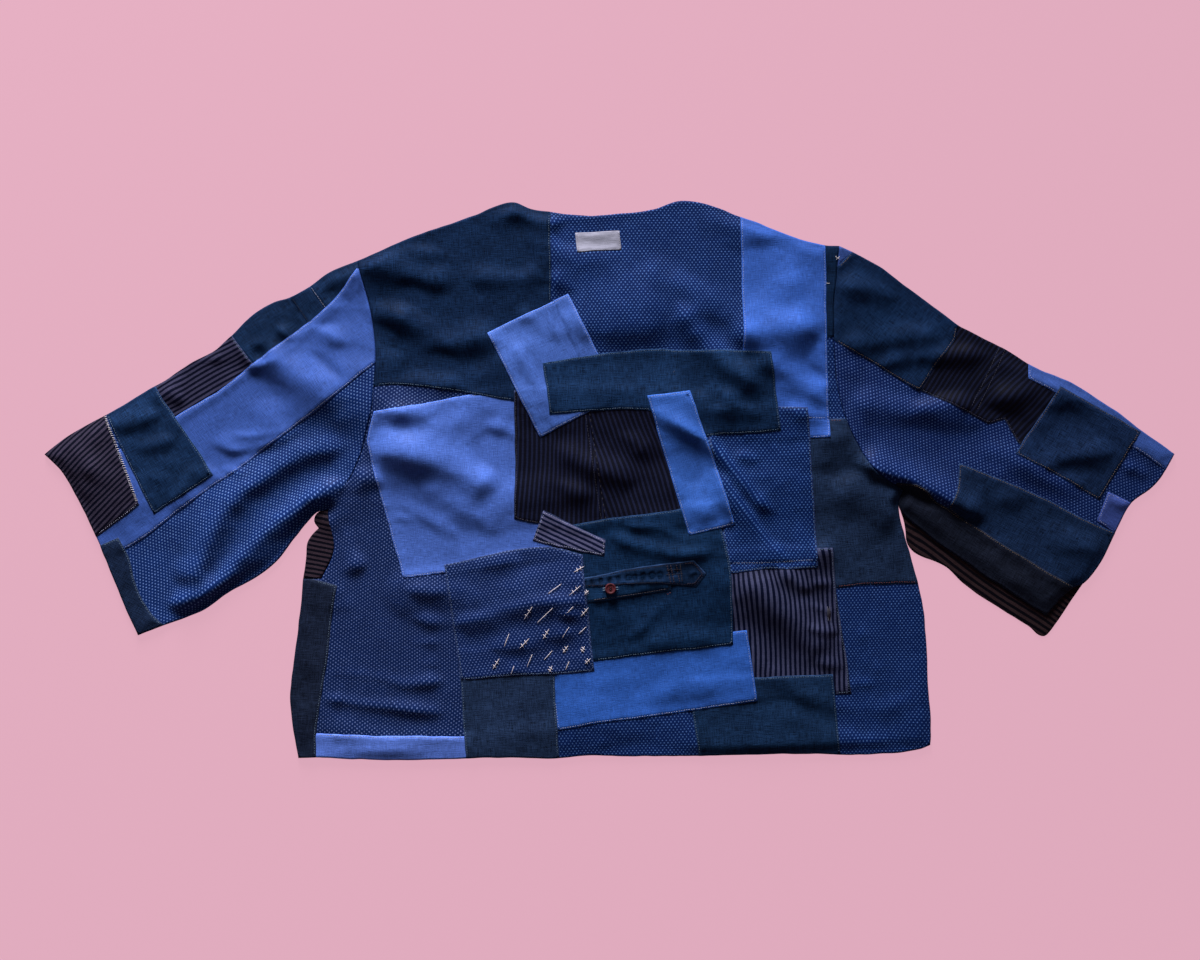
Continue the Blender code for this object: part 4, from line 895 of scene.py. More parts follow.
class Cloth:
    """A piece of cloth seen from above: its ring and the heights of its two faces.

    panel is the edge of the panel it belongs to, and under the field it lies on. own says which points of
    the ring are the cloth's own sewn edge, rather than the panel's. extra holds creases of its own, and
    allowance is what its turned hem adds.
    """

    def __init__(self, ring, under, wall, panel, seed, own=None, extra=None, allowance=0.0, seams=()):
        self.edge = Edge(ring)
        self.panel = panel
        self.under = under
        self.wall = wall
        self.own = np.zeros(len(ring), bool) if own is None else own
        self.extra = extra
        self.allowance = allowance
        self.seams = seams
        random = np.random.default_rng(seed)
        self.puckers = [(length, random.uniform(0, tau)) for length in (6.3, 8.9, 12.7, 19.0, 31.0)]

    def pucker(self, distance, along):
        """Small waves along a sewn edge, higher in some places than in others."""
        gather = sum(np.sin(tau * along / length + phase) for length, phase in self.puckers)
        amount = 0.11 + 0.06 * np.sin(tau * along / 90.0 + self.puckers[0][1])
        return amount * gather * np.exp(-distance / 6.5) * smoothstep(distance / 1.5)

    def roll(self, points):
        """How far the rounding of the panel's edge takes the cloth down."""
        distance = np.minimum(self.panel.nearest(points)[0], ROLL_RADIUS)
        left = 1 - distance / ROLL_RADIUS
        return ROLL_RADIUS * (1 - np.sqrt(np.maximum(1 - left * left, 0.0)))

    def crest_wear_and_hollow_shade(self, points):
        """Where the cloth is painted paler or darker: 1 on crests, as rubbed wear, and -1 in hollows, as painted
        shade.
        """
        found = wear_and_shade_field.at(points)
        if self.extra is None:
            return found
        bends = [np.gradient(np.gradient(self.extra.values, CELL, axis=axis), CELL, axis=axis) for axis in (0, 1)]
        return found + Field(np.clip(-1.6 * sum(bends), -1, 1), self.extra.row, self.extra.column).at(points)

    def heights(self, points):
        """(top, underside, distance to the edge) at points."""
        distance, along, index = self.edge.nearest(points)
        own = self.own[index]
        base = self.under.at(points)
        sewn = 0.3 + 0.7 * smoothstep(distance / 0.9)
        top = base + self.wall * np.where(own, sewn, 1.0)
        fold = self.allowance * (1 - smoothstep((distance - HEM_WIDTH) / HEM_STEP)) * smoothstep(distance / 1.2)
        groove = GROOVE_DEPTH * self.allowance / HEM_ALLOWANCE
        groove *= np.exp(-(((distance - STITCH_INSET) / GROOVE_WIDTH) ** 2))
        top += np.where(own, fold - groove + self.pucker(distance, along), 0.0)
        if self.extra is not None:
            top += self.extra.at(points) * smoothstep(distance / 5.0)
        for seam in self.seams:
            ahead, across = from_seam(seam, points)
            band = smoothstep((across - 0.2) / 0.8) * (1 - smoothstep((across - SEAM_WIDTH) / 1.0))
            gather = 1 + 0.4 * np.sin(ahead * tau / 6.1)
            top += SEAM_RISE * band * gather - 0.45 * np.exp(-((across / 0.7) ** 2))
        drop = self.roll(points)
        top -= drop
        underside = np.minimum(base - 0.6 * drop, top - 0.22)
        return top, underside, distance


class Pressed(Cloth):
    """A panel that lies on the surface, its few creases pressed flat."""

    def heights(self, points):
        """(top, underside, distance to the edge) at points."""
        distance = self.edge.nearest(points)[0]
        top = self.wall - 0.4 * (1 - smoothstep(distance / 1.2))
        rise = self.under.at(points) * smoothstep(distance / 10.0)
        return top, rise + 0.35 * (1 - smoothstep(distance / 1.6)), distance


def from_seam(seam, points):
    """How far points are along a seam, and how far across it to its left."""
    run = np.array(seam.end) - np.array(seam.start)
    offset = points - np.array(seam.start)
    length = np.hypot(*run)
    return offset @ run / length, (run[0] * offset[:, 1] - run[1] * offset[:, 0]) / length


def on_top(cloth, points):
    """Points with the height of a piece's upper face."""
    points = np.asarray(points, float)
    return np.column_stack([points, cloth.heights(points)[0]])


def lattice(low, high, spacing):
    """Points of an even triangular lattice over a box."""
    step_y = spacing * 0.8660254  # the height of an even triangle
    rows = np.arange(np.floor(low[1] / step_y), np.ceil(high[1] / step_y) + 1)
    columns = np.arange(np.floor(low[0] / spacing) - 1, np.ceil(high[0] / spacing) + 2)
    column, row = np.meshgrid(columns, rows)
    return np.column_stack([((column + 0.5 * (row % 2)) * spacing).ravel(), (row * step_y).ravel()])


def spaced(points, taken, gap):
    """The points that are at least that far from the taken ones."""
    tree = tree_of(taken)
    clear = [tree.find((x, y, 0.0))[2] > gap for x, y in points]
    return points[np.array(clear, bool)]


def plan_of(cloth, spacing, depths, steps_below=()):
    """(points, triangles) of a piece seen from above, closer set along its edge and over edges below."""
    ring = cloth.edge.ring

    def well_inside(points, depth):
        points = points[((points > ring.min(axis=0)) & (points < ring.max(axis=0))).all(axis=1)]
        points = points[inside(ring, points)]
        return points[cloth.edge.nearest(points)[0] > depth] if len(points) else points

    rows = [ring] + [cloth.edge.inset(depth)[0] for depth in depths]
    taken = np.concatenate([row for row in rows if len(row)])
    added = []
    for low_edge in steps_below:
        for line in (low_edge.inset(2.6, 0.4)[0], low_edge.inset(0.9, 0.4)[0],
                     low_edge.ring - 0.9 * low_edge.inward()):
            added.append((well_inside(line, depths[-1] + 1.0), 0.7))
    free = lattice(ring.min(axis=0), ring.max(axis=0), spacing)
    added.append((well_inside(free, depths[-1] + 0.5 * spacing), 0.55 * spacing))
    for points, gap in added:
        if len(points):
            taken = np.concatenate([taken, spaced(points, taken, gap)])
    lines = closed_lines(len(ring))
    points = [tuple(p) for p in taken]
    for seam in cloth.seams:
        start, end = seam.start, seam.end
        count = max(2, round(hypot(end[0] - start[0], end[1] - start[1]) / RING_STEP))
        first = len(points)
        shares = [i / count for i in range(count + 1)]
        points += [tuple(start[k] + t * (end[k] - start[k]) for k in (0, 1)) for t in shares]
        lines += [(first + i, first + i + 1) for i in range(count)]
    return triangulated(points, lines, [ring])


def placed(points, heights):
    """Table millimetres to metres in the frame."""
    return np.column_stack([points[:, 0] - MIDDLE[0], points[:, 1] - MIDDLE[1], heights]) * MM


def grain_place(points, grain):
    """Where points lie on the flat cloth, in millimetres along and across its grain."""
    shift_x = grain_shift[0].at(points) + 4.0 * slope_fields[0].at(points)
    shift_y = grain_shift[1].at(points) + 4.0 * slope_fields[1].at(points)
    x, y = points[:, 0] + shift_x, points[:, 1] + shift_y
    turn = np.radians(grain)
    return np.column_stack([x * np.cos(turn) + y * np.sin(turn), y * np.cos(turn) - x * np.sin(turn)])


def mesh_of(name, vertices, faces):
    """A smooth mesh of triangles."""
    mesh = bpy.data.meshes.new(name)
    mesh.vertices.add(len(vertices))
    mesh.vertices.foreach_set("co", np.asarray(vertices, np.float32).ravel())
    mesh.loops.add(3 * len(faces))
    mesh.loops.foreach_set("vertex_index", np.asarray(faces, np.int32).ravel())
    mesh.polygons.add(len(faces))
    mesh.polygons.foreach_set("loop_start", np.arange(0, 3 * len(faces), 3, dtype=np.int32))
    mesh.polygons.foreach_set("use_smooth", np.ones(len(faces), bool))
    mesh.update(calc_edges=True)
    mesh.validate()
    return mesh


def shown(name, mesh, material, node=None):
    """A piece of the scene, riding the jacket, in place of a node if one is named."""
    mesh.materials.append(material)
    piece = bpy.data.objects.new(name, mesh)
    bpy.context.scene.collection.objects.link(piece)
    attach(piece, "root")
    if node:
        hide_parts(node)
    return piece


def add_cloth(node, cloth, kind, tint, grain, spacing, steps_below=(), depths=RING_DEPTHS):
    """The shell of a piece of cloth, which lies on what is below it."""
    points, triangles = plan_of(cloth, spacing, depths, steps_below)
    top, underside, distance = cloth.heights(points)
    count = len(points)
    vertices = np.concatenate([placed(points, top), placed(points, underside)])
    rim = rim_of(triangles)
    walls = [np.column_stack([rim[:, 1], rim[:, 0], rim[:, 0] + count]),
             np.column_stack([rim[:, 1], rim[:, 0] + count, rim[:, 1] + count])]
    faces = np.concatenate([triangles, triangles[:, ::-1] + count, *walls])
    mesh = mesh_of(node + "_cloth", vertices, faces)
    both = np.concatenate([points, points])
    place = grain_place(both, grain)[faces.ravel()]
    for seam in cloth.seams:
        if seam.grain is not None:
            beyond = from_seam(seam, both[faces].mean(axis=1))[1] > 0
            turned = grain_place(both, seam.grain)[faces.ravel()]
            place = np.where(np.repeat(beyond, 3)[:, None], turned, place)
    mesh.uv_layers.new(name="cloth").data.foreach_set("uv", place.astype(np.float32).ravel())
    rim_distance = np.where(cloth.own[cloth.edge.nearest(points)[2]], distance, FAR_FROM_RIM)
    # ridge is 1 on crests, painted paler as rubbed wear, and -1 in hollows, painted shade.
    for label, values in (("rim", rim_distance), ("ridge", cloth.crest_wear_and_hollow_shade(points))):
        attribute = mesh.attributes.new(label, "FLOAT", "POINT")
        attribute.data.foreach_set("value", np.concatenate([values, values]).astype(np.float32))
    piece = shown(node + "_cloth", mesh, cloth_material(node, kind, tint), node)


# ---------------------------------------------------------------------------------------------------
# Thread


def threads(name, starts, ends, lift, radius, material, sides=5, dive=0.35):
    """Many short threads as one mesh. Each lies from its start to its end, and dives in at both."""
    starts, ends = np.asarray(starts, float), np.asarray(ends, float)
    run = ends - starts
    length = np.linalg.norm(run, axis=1, keepdims=True)
    ahead = run / np.maximum(length, 1e-9)
    across = np.cross(ahead, np.array([0.0, 0.0, 1.0]))
    across /= np.maximum(np.linalg.norm(across, axis=1, keepdims=True), 1e-9)
    up = np.cross(across, ahead)
    places = []
    for share, size, rise in (
        (0.0, 0.0, -dive), (0.16, 0.85, lift), (0.5, 1.0, lift * 1.25), (0.84, 0.85, lift), (1.0, 0.0, -dive),
    ):
        middle = starts + share * run + rise * up
        if size == 0.0:
            places.append(middle[:, None, :])
            continue
        ring = []
        for i in range(sides):
            turn = tau * i / sides
            ring.append(middle + radius * size * (cos(turn) * across + sin(turn) * up))
        places.append(np.stack(ring, axis=1))
    vertices = np.concatenate(places, axis=1)
    per = vertices.shape[1]
    faces = []
    for i in range(sides):
        j = (i + 1) % sides
        faces.append((0, 1 + j, 1 + i))
        for k in (0, 1):
            low = 1 + k * sides
            faces.append((low + i, low + j, low + sides + j))
            faces.append((low + i, low + sides + j, low + sides + i))
        last = 1 + 2 * sides
        faces.append((last + i, last + j, per - 1))
    faces = np.array(faces)
    every = (faces[None] + per * np.arange(len(starts))[:, None, None]).reshape(-1, 3)
    points = vertices.reshape(-1, 3)
    mesh = mesh_of(name, placed(points[:, :2], points[:, 2]), every)
    return shown(name, mesh, material)


def along_line(line, pitch, length, random):
    """Starts and ends of stitches along a run of points, as rows (x, y)."""
    sides = np.hypot(*(line[1:] - line[:-1]).T)
    place = np.concatenate([[0.0], np.cumsum(sides)])
    starts = np.arange(pitch * 0.3, place[-1] - length, pitch)
    starts = starts + random.uniform(-0.12, 0.12, len(starts)) * pitch
    ends = starts + length * random.uniform(0.85, 1.08, len(starts))
    return tuple(np.column_stack([np.interp(at, place, line[:, k]) for k in (0, 1)]) for at in (starts, ends))


def runs_of(points, keep, longest_gap=9.0):
    """The stretches of a path that are kept, each as its own run of points."""
    runs, now = [], []
    for i in range(len(points) + 1):
        here = i % len(points)
        apart = now and np.hypot(*(points[here] - now[-1])) > longest_gap
        if not keep[here] or apart:
            if len(now) > 3:
                runs.append(np.array(now))
            now = []
        if keep[here]:
            now.append(points[here])
    if len(now) > 3:
        runs.append(np.array(now))
    return runs


def sew_edges(name, cloth, covers, material, seed):
    """Running stitches just inside the edges of a scrap, where no later scrap covers them."""
    random = np.random.default_rng(900 + seed)
    points, index = cloth.edge.inset(STITCH_INSET)
    keep = cloth.own[index] & (cloth.panel.nearest(points)[0] > 2.0)
    for cover in covers:
        keep &= ~inside(cover, points)
    stitches = [along_line(run, STITCH_PITCH, STITCH_LENGTH, random) for run in runs_of(points, keep)]
    if sum(len(starts) for starts, _ in stitches):
        starts, ends = (on_top(cloth, np.concatenate(side)) for side in zip(*stitches))
        threads(name + "_stitches", starts, ends, STITCH_LIFT, THREAD, material)


# ---------------------------------------------------------------------------------------------------
# Materials


class Graph:
    """A material's nodes, with short ways to add them."""

    def __init__(self, name):
        self.material = bpy.data.materials.new(name)
        self.material.use_nodes = True
        self.tree = self.material.node_tree
        self.shader = self.tree.nodes["Principled BSDF"]

    def add(self, kind, **settings):
        node = self.tree.nodes.new(kind)
        for key, value in settings.items():
            setattr(node, key, value)
        return node

    def give(self, socket, value):
        if isinstance(value, bpy.types.NodeSocket):
            self.tree.links.new(value, socket)
        elif isinstance(value, tuple) and len(value) == 3 and socket.type == "RGBA":
            socket.default_value = (*value, 1.0)
        else:
            socket.default_value = value

    def math(self, operation, first, second=0.0, third=None):
        node = self.add("ShaderNodeMath", operation=operation)
        self.give(node.inputs[0], first)
        self.give(node.inputs[1], second)
        if third is not None:
            self.give(node.inputs[2], third)
        return node.outputs[0]

    def ramp(self, value, low, high, to_low=0.0, to_high=1.0):
        node = self.add("ShaderNodeMapRange", interpolation_type="SMOOTHSTEP")
        for socket, given in zip(node.inputs, (value, low, high, to_low, to_high)):
            self.give(socket, given)
        return node.outputs[0]

    def mix(self, share, first, second, blend="MIX"):
        node = self.add("ShaderNodeMix", data_type="RGBA", blend_type=blend)
        self.give(node.inputs[0], share)
        self.give(node.inputs[6], first)
        self.give(node.inputs[7], second)
        return node.outputs[2]

    def scaled(self, colour, share):
        """A colour times a number."""
        grey = self.add("ShaderNodeCombineColor")
        for socket in grey.inputs:
            self.give(socket, share)
        return self.mix(1.0, colour, grey.outputs[0], blend="MULTIPLY")

    def noise(self, vector, stretch, detail=2.0, roughness=0.55):
        """Noise whose features are about as many millimetres long as stretch says."""
        place = self.add("ShaderNodeMapping")
        self.give(place.inputs["Vector"], vector)
        place.inputs["Scale"].default_value = tuple(1 / size for size in stretch)
        node = self.add("ShaderNodeTexNoise", noise_dimensions="3D")
        self.give(node.inputs["Vector"], place.outputs[0])
        node.inputs["Scale"].default_value = 1.0
        node.inputs["Detail"].default_value = detail
        node.inputs["Roughness"].default_value = roughness
        return node.outputs["Fac"]

    def flat_cloth(self, offset):
        """The place on the flat cloth in millimetres, moved by an offset of this piece's own."""
        uv = self.add("ShaderNodeUVMap", uv_map="cloth")
        place = self.add("ShaderNodeVectorMath", operation="ADD")
        self.give(place.inputs[0], uv.outputs[0])
        place.inputs[1].default_value = (*offset, 0.0)
        return place.outputs[0]

    def room(self):
        """The place in the frame in millimetres."""
        place = self.add("ShaderNodeTexCoord")
        scale = self.add("ShaderNodeVectorMath", operation="SCALE")
        self.give(scale.inputs[0], place.outputs["Object"])
        scale.inputs["Scale"].default_value = 1000.0
        return scale.outputs[0]

    def attribute(self, name):
        return self.add("ShaderNodeAttribute", attribute_name=name).outputs["Fac"]

    def finish(self, colour, height, depth, roughness, specular, sheen, sheen_tint):
        self.give(self.shader.inputs["Base Color"], colour)
        self.give(self.shader.inputs["Roughness"], roughness)
        self.shader.inputs["Specular IOR Level"].default_value = specular
        self.shader.inputs["Sheen Weight"].default_value = sheen
        self.shader.inputs["Sheen Roughness"].default_value = 0.55
        self.shader.inputs["Sheen Tint"].default_value = (*sheen_tint, 1.0)
        bump = self.add("ShaderNodeBump")
        bump.inputs["Strength"].default_value = 1.0
        bump.inputs["Distance"].default_value = depth * MM
        self.give(bump.inputs["Height"], height)
        self.give(self.shader.inputs["Normal"], bump.outputs[0])
        return self.material


def worn_cloth(graph, colour, cloth_place, fade, slub, mottle, slub_sizes=(1.1, 13.0), pale=1.6,
               gloss=0.05, crest_wear_and_hollow_shade=0.12):
    """Threads, mottling, rubbed edges, and crests painted paler and hollows painted darker, over a cloth's printed or
    woven colour.

    fade is how far its own edges are rubbed, towards pale times its colour. slub is how uneven its threads
    are, slub_sizes are their width and length, and crest_wear_and_hollow_shade is how much its crests are
    painted paler, as rubbed wear, and its hollows darker, as painted shade.
    """
    across, along = slub_sizes
    warp = graph.noise(cloth_place, (across, along, 5.0), detail=1.5)
    weft = graph.noise(cloth_place, (along, across, 5.0), detail=1.5)
    fine = graph.noise(cloth_place, (0.75, 0.75, 5.0), detail=1.0)
    room = graph.room()
    blotch = graph.noise(room, (34.0, 30.0, 30.0), detail=4.0, roughness=0.6)
    thread = graph.math("ADD", graph.math("ADD", warp, weft), graph.math("MULTIPLY", fine, 0.9))
    share = graph.math("MULTIPLY_ADD", graph.math("SUBTRACT", thread, 1.45), slub * 2.2, 1.0)
    patchy = graph.math("MULTIPLY_ADD", graph.math("SUBTRACT", blotch, 0.5), mottle * 3.4, 1.0)
    # Crests painted paler, as rubbed wear, and hollows painted darker, as painted shade.
    ridge = graph.math("MULTIPLY_ADD", graph.attribute("ridge"), crest_wear_and_hollow_shade, 1.0)
    tone = graph.math("MULTIPLY", graph.math("MULTIPLY", share, patchy), ridge)
    tone = graph.math("MAXIMUM", tone, 0.25)
    toned = graph.scaled(colour, tone)
    rim = graph.ramp(graph.attribute("rim"), 0.1, 1.2, 1.0, 0.0)
    rubbed = graph.math("MULTIPLY", rim, graph.ramp(weft, 0.35, 0.65, 0.25, 1.0))
    rubbed = graph.math("MULTIPLY", rubbed, fade)
    toned = graph.mix(rubbed, toned, tuple(min(1.0, c * pale + 0.012) for c in fade_colour(colour)))
    height = graph.math("MULTIPLY_ADD", thread, 0.8, graph.math("MULTIPLY", blotch, 1.2))
    roughness = graph.ramp(blotch, 0.3, 0.7, 0.55, 0.7)
    return graph.finish(toned, height, WEAVE_DEPTH, roughness, gloss, 0.01, (0.35, 0.45, 0.9))


def fade_colour(colour):
    """A plain colour to fade towards, also where the cloth's colour comes from nodes."""
    return colour if isinstance(colour, tuple) else (0.045, 0.065, 0.16)


def times(colour, share):
    """A colour times one number, or times one number for each of red, green and blue."""
    shares = share if isinstance(share, tuple) else (share, share, share)
    return tuple(c * s for c, s in zip(colour, shares))


def dotted_cloth(name, tint, offset):
    """Indigo cloth with rows of small pale dots, each row set half a step from the last."""
    graph = Graph(name)
    place = graph.flat_cloth(offset)
    jitter = graph.noise(place, (1.6, 1.6, 5.0), detail=0.0)
    parts = graph.add("ShaderNodeSeparateXYZ")
    graph.give(parts.inputs[0], place)
    u = graph.math("MULTIPLY_ADD", graph.math("SUBTRACT", jitter, 0.5), 0.5, parts.outputs[0])
    v = graph.math("MULTIPLY_ADD", graph.math("SUBTRACT", jitter, 0.5), 0.4, parts.outputs[1])
    distances = []
    for shift in (0.0, 0.5):
        spans = []
        for value, pitch in ((u, DOTTED.dot_pitch), (v, 2 * DOTTED.row_pitch)):
            cell = graph.math("FRACT", graph.math("ADD", graph.math("DIVIDE", value, pitch), shift))
            spans.append(graph.math("MULTIPLY", graph.math("SUBTRACT", cell, 0.5), pitch))
        squares = [graph.math("POWER", graph.math("ABSOLUTE", span), 2.0) for span in spans]
        distances.append(graph.math("SQRT", graph.math("ADD", *squares)))
    nearest = graph.math("MINIMUM", *distances)
    dot = graph.ramp(nearest, DOTTED.radius - 0.18, DOTTED.radius + 0.18, 1.0, 0.0)
    patchy = graph.noise(place, (9.0, 7.0, 5.0), detail=2.0)
    dot = graph.math("MULTIPLY", dot, graph.ramp(patchy, 0.2, 0.75, 0.62, 1.0))
    colour = graph.mix(dot, times(DOTTED.ground, tint), times(DOTTED.dot, tint))
    return worn_cloth(graph, colour, place, 0.5, slub=0.22, mottle=0.16)


def striped_cloth(name, stripes, pitch, tint, offset):
    """Narrow stripes that run along the grain, with a thin core and soft edges."""
    graph = Graph(name)
    place = graph.flat_cloth(offset)
    jitter = graph.noise(place, (2.5, 1.2, 5.0), detail=1.0)
    parts = graph.add("ShaderNodeSeparateXYZ")
    graph.give(parts.inputs[0], place)
    v = graph.math("MULTIPLY_ADD", graph.math("SUBTRACT", jitter, 0.5), 0.5, parts.outputs[1])
    cell = graph.math("FRACT", graph.math("DIVIDE", v, pitch))
    off = graph.math("ABSOLUTE", graph.math("SUBTRACT", cell, 0.5))
    edge = stripes.share / 2
    band = graph.ramp(off, edge - 0.05, edge + 0.05, 1.0, 0.0)
    colour = graph.mix(band, times(stripes.ground, tint), times(stripes.stripe, tint))
    return worn_cloth(graph, colour, place, 0.4, slub=0.26, slub_sizes=(0.9, 9.0), mottle=0.14, gloss=0.03)


def thread_material(name, colour):
    """Fuzzy cotton thread."""
    graph = Graph(name)
    room = graph.room()
    fuzz = graph.noise(room, (0.5, 0.5, 0.5), detail=1.0)
    tone = graph.ramp(fuzz, 0.3, 0.7, 0.8, 1.12)
    return graph.finish(graph.scaled(colour, tone), fuzz, 0.12, 0.7, 0.2, 0.1, (0.8, 0.8, 0.85))


def label_material(name, colour):
    """Ribbed cotton with some grime."""
    graph = Graph(name)
    place = graph.flat_cloth((0.0, 0.0))
    rib = graph.noise(place, (9.0, 0.7, 5.0), detail=1.0)
    grime = graph.noise(place, (12.0, 8.0, 5.0), detail=3.0)
    tone = graph.math("MULTIPLY", graph.ramp(rib, 0.3, 0.7, 0.86, 1.08), graph.ramp(grime, 0.3, 0.7, 0.88, 1.06))
    return graph.finish(graph.scaled(colour, tone), rib, 0.16, 0.8, 0.15, 0.05, (0.9, 0.9, 0.95))


def resin_material(name, colour):
    """Swirled resin with fine scuffs."""
    graph = Graph(name)
    room = graph.room()
    swirl = graph.noise(room, (2.2, 5.0, 2.0), detail=3.0)
    tinted = graph.mix(graph.ramp(swirl, 0.35, 0.65), colour, times(colour, 2.2))
    scuff = graph.noise(room, (0.6, 0.6, 0.6), detail=2.0)
    return graph.finish(tinted, scuff, 0.03, graph.ramp(scuff, 0.3, 0.7, 0.5, 0.65), 0.12, 0.0, (1, 1, 1))


STRIPE_PITCH = {
    "patch_grey_stripe": 4.93, "cuff_left_stripe": 4.42, "sleeve_left_stripe": 4.49,
    "patch_dark_stripe": 4.68, "sleeve_right_dark_stripe": 4.7, "scrap_grey_stripe": 4.85,
    "side_piece_stripe": 4.77, "sleeve_right_under": 5.4,
}
# The gathered strap and underlap: strongly rubbed edges, and crests strongly painted paler and the hollows of their
# dents strongly painted darker, as painted shade.
GATHERED = {"fade": 1.0, "slub": 0.6, "pale": 3.4, "mottle": 0.35, "gloss": 0.02, "crest_wear_and_hollow_shade": 1.1}
WEAR = {
    "blue_chambray": {
        "fade": 0.85, "slub": 0.42, "slub_sizes": (0.85, 9.0), "pale": 2.0, "mottle": 0.17, "gloss": 0.08,
    },
    "teal_denim": {
        "fade": 0.8, "slub": 0.95, "slub_sizes": (0.85, 11.0), "pale": 3.0, "mottle": 0.34, "gloss": 0.02,
    },
    "placket_strap": GATHERED, "placket_underlap": GATHERED,
}


def cloth_material(node, kind, tint):
    """The material of one piece of cloth, with a print and weave that start at a place of its own."""
    random = np.random.default_rng(sum(ord(letter) for letter in node))
    offset = tuple(float(v) for v in random.uniform(-40, 40, 2))
    name = node + "_" + kind
    if kind == "label_cotton":
        return label_material(name, LABEL_COTTON)
    if kind == "dotted_indigo":
        return dotted_cloth(name, tint, offset)
    if kind in STRIPED:
        return striped_cloth(name, STRIPED[kind], STRIPE_PITCH[node], tint, offset)
    graph = Graph(name)
    place = graph.flat_cloth(offset)
    return worn_cloth(graph, times(PLAIN[kind], tint), place, **WEAR.get(node, WEAR[kind]))


# ---------------------------------------------------------------------------------------------------
# Building

sewing = {key: thread_material("thread_" + key, colour) for key, colour in THREAD_COLOURS.items()}
white_thread = thread_material("darning_thread", DARN_COLOUR)


def panel_ring(outline):
    """A panel's edge, with only its sharpest corners kept."""
    return wandered(traced(outline, corner=PANEL_CORNER))


rings = {
    "back": panel_ring(BACK),
    "sleeve_left": panel_ring(SLEEVE_LEFT),
    "sleeve_right": panel_ring(SLEEVE_RIGHT),
}
panel_edges = {name: Edge(ring) for name, ring in rings.items()}
pressed = np.clip(0.42 * slack(61, 26, 9) + 0.25 * slack(62, 8, 22) - 0.15, 0.0, 0.8)
panel_base = PANEL_FOOT + drape


def add_under(node, outline, kind, tint, grain):
    """A panel that lies on the surface."""
    ring = panel_ring(outline)
    rows, columns = window(ring.min(axis=0), ring.max(axis=0), 8.0)
    under = Field(pressed[rows, columns], rows.start, columns.start)
    cloth = Pressed(ring, under, UNDER_WALL, Edge(ring), 5)
    add_cloth(node, cloth, kind, tint, grain, UNDER_SPACING, depths=UNDER_DEPTHS)


def add_panel(node, outline, limits, kind, tint, grain, rests_on):
    """An upper panel, or what of it lies between two limits of x."""
    ring = panel_ring(outline)
    whole = Edge(ring)
    if limits:
        low, high = limits
        box = [(low, -BEYOND), (high, -BEYOND), (high, BEYOND), (low, BEYOND)]
        ring = clipped(traced(box, step=6.0, corner=10.0), ring)
    cloth = Cloth(ring, Field(panel_base), PANEL_WALL, whole, 7)
    add_cloth(node, cloth, kind, tint, grain, PANEL_SPACING)


def add_scraps():
    """Sews the scraps on one after another, each over what is there, and returns their cloths by name."""
    own_rings = [wandered(traced(scrap.corners, corner=SCRAP_CORNER)) for scrap in SCRAPS]
    cut_rings = [clipped(ring, rings[scrap.panel]) for ring, scrap in zip(own_rings, SCRAPS)]
    stack = {name: np.zeros(GRID_SHAPE) for name in rings}
    cloths = {}
    for number, scrap in enumerate(SCRAPS):
        ring = cut_rings[number]
        rows, columns = window(ring.min(axis=0), ring.max(axis=0), 14.0)
        below = stack[scrap.panel][rows, columns]
        rise = np.maximum(softened(spread(below, 2), 1.3), softened(below, 0.8))
        under = panel_base[rows, columns] + PANEL_WALL + rise + SCRAP_GAP
        x, y = np.meshgrid(grid_x[columns], grid_y[rows])
        mask = inside(ring, np.column_stack([x.ravel(), y.ravel()])).reshape(x.shape)
        stack[scrap.panel][rows, columns] = np.where(mask, rise + SCRAP_GAP + SCRAP_WALL, below)
        extra = np.zeros(under.shape)
        for crease in SCRAP_CREASES.get(scrap.name, ()):
            add_crease(extra, Crease(*crease), rows.start, columns.start)
        cloth = cloths[scrap.name] = Cloth(
            ring, Field(under, rows.start, columns.start), SCRAP_WALL, panel_edges[scrap.panel], 100 + number,
            own=Edge(own_rings[number]).nearest(ring)[0] < 0.3, extra=Field(extra, rows.start, columns.start),
            allowance=HEM_ALLOWANCE, seams=[seam for seam in SEAMS if seam.on == scrap.name],
        )
        lower = [
            SCRAPS[i].name for i in range(number)
            if SCRAPS[i].panel == scrap.panel
            and (inside(ring, cut_rings[i]).any() or inside(cut_rings[i], ring).any())
        ]
        add_cloth(
            scrap.name, cloth, scrap.cloth, scrap.tint, scrap.grain,
            STRAP_SPACING if scrap.name == "placket_strap" else SCRAP_SPACING,
            steps_below=[cloths[name].edge for name in lower],
        )
        if scrap.name != "neck_label":
            covers = [cut_rings[i] for i in range(number + 1, len(SCRAPS)) if SCRAPS[i].panel == scrap.panel]
            thread = OWN_THREADS.get(scrap.name, CLOTH_THREADS.get(scrap.cloth))
            sew_edges(scrap.name, cloth, covers, sewing[thread], number)
    return cloths


def add_darning():
    """The white strokes, and the small ticks that cross some of them."""
    cloth = cloths["patch_dot_darned"]
    starts, ends = [], []
    for darn in DARNS:
        start, end = np.array(darn.start), np.array(darn.end)
        starts.append(start - 0.1 * (end - start))
        ends.append(end + 0.1 * (end - start))
        if darn.crossed:
            run = (end - start) / np.hypot(*(end - start))
            across = np.array([-run[1], run[0]])
            lean = across * 2.7 + run * 0.7
            for share in (0.35, 0.7):
                middle = start + share * (end - start)
                starts.append(middle - lean)
                ends.append(middle + lean)
    threads("darning", on_top(cloth, starts), on_top(cloth, ends), 0.5, 0.3, white_thread, sides=8)


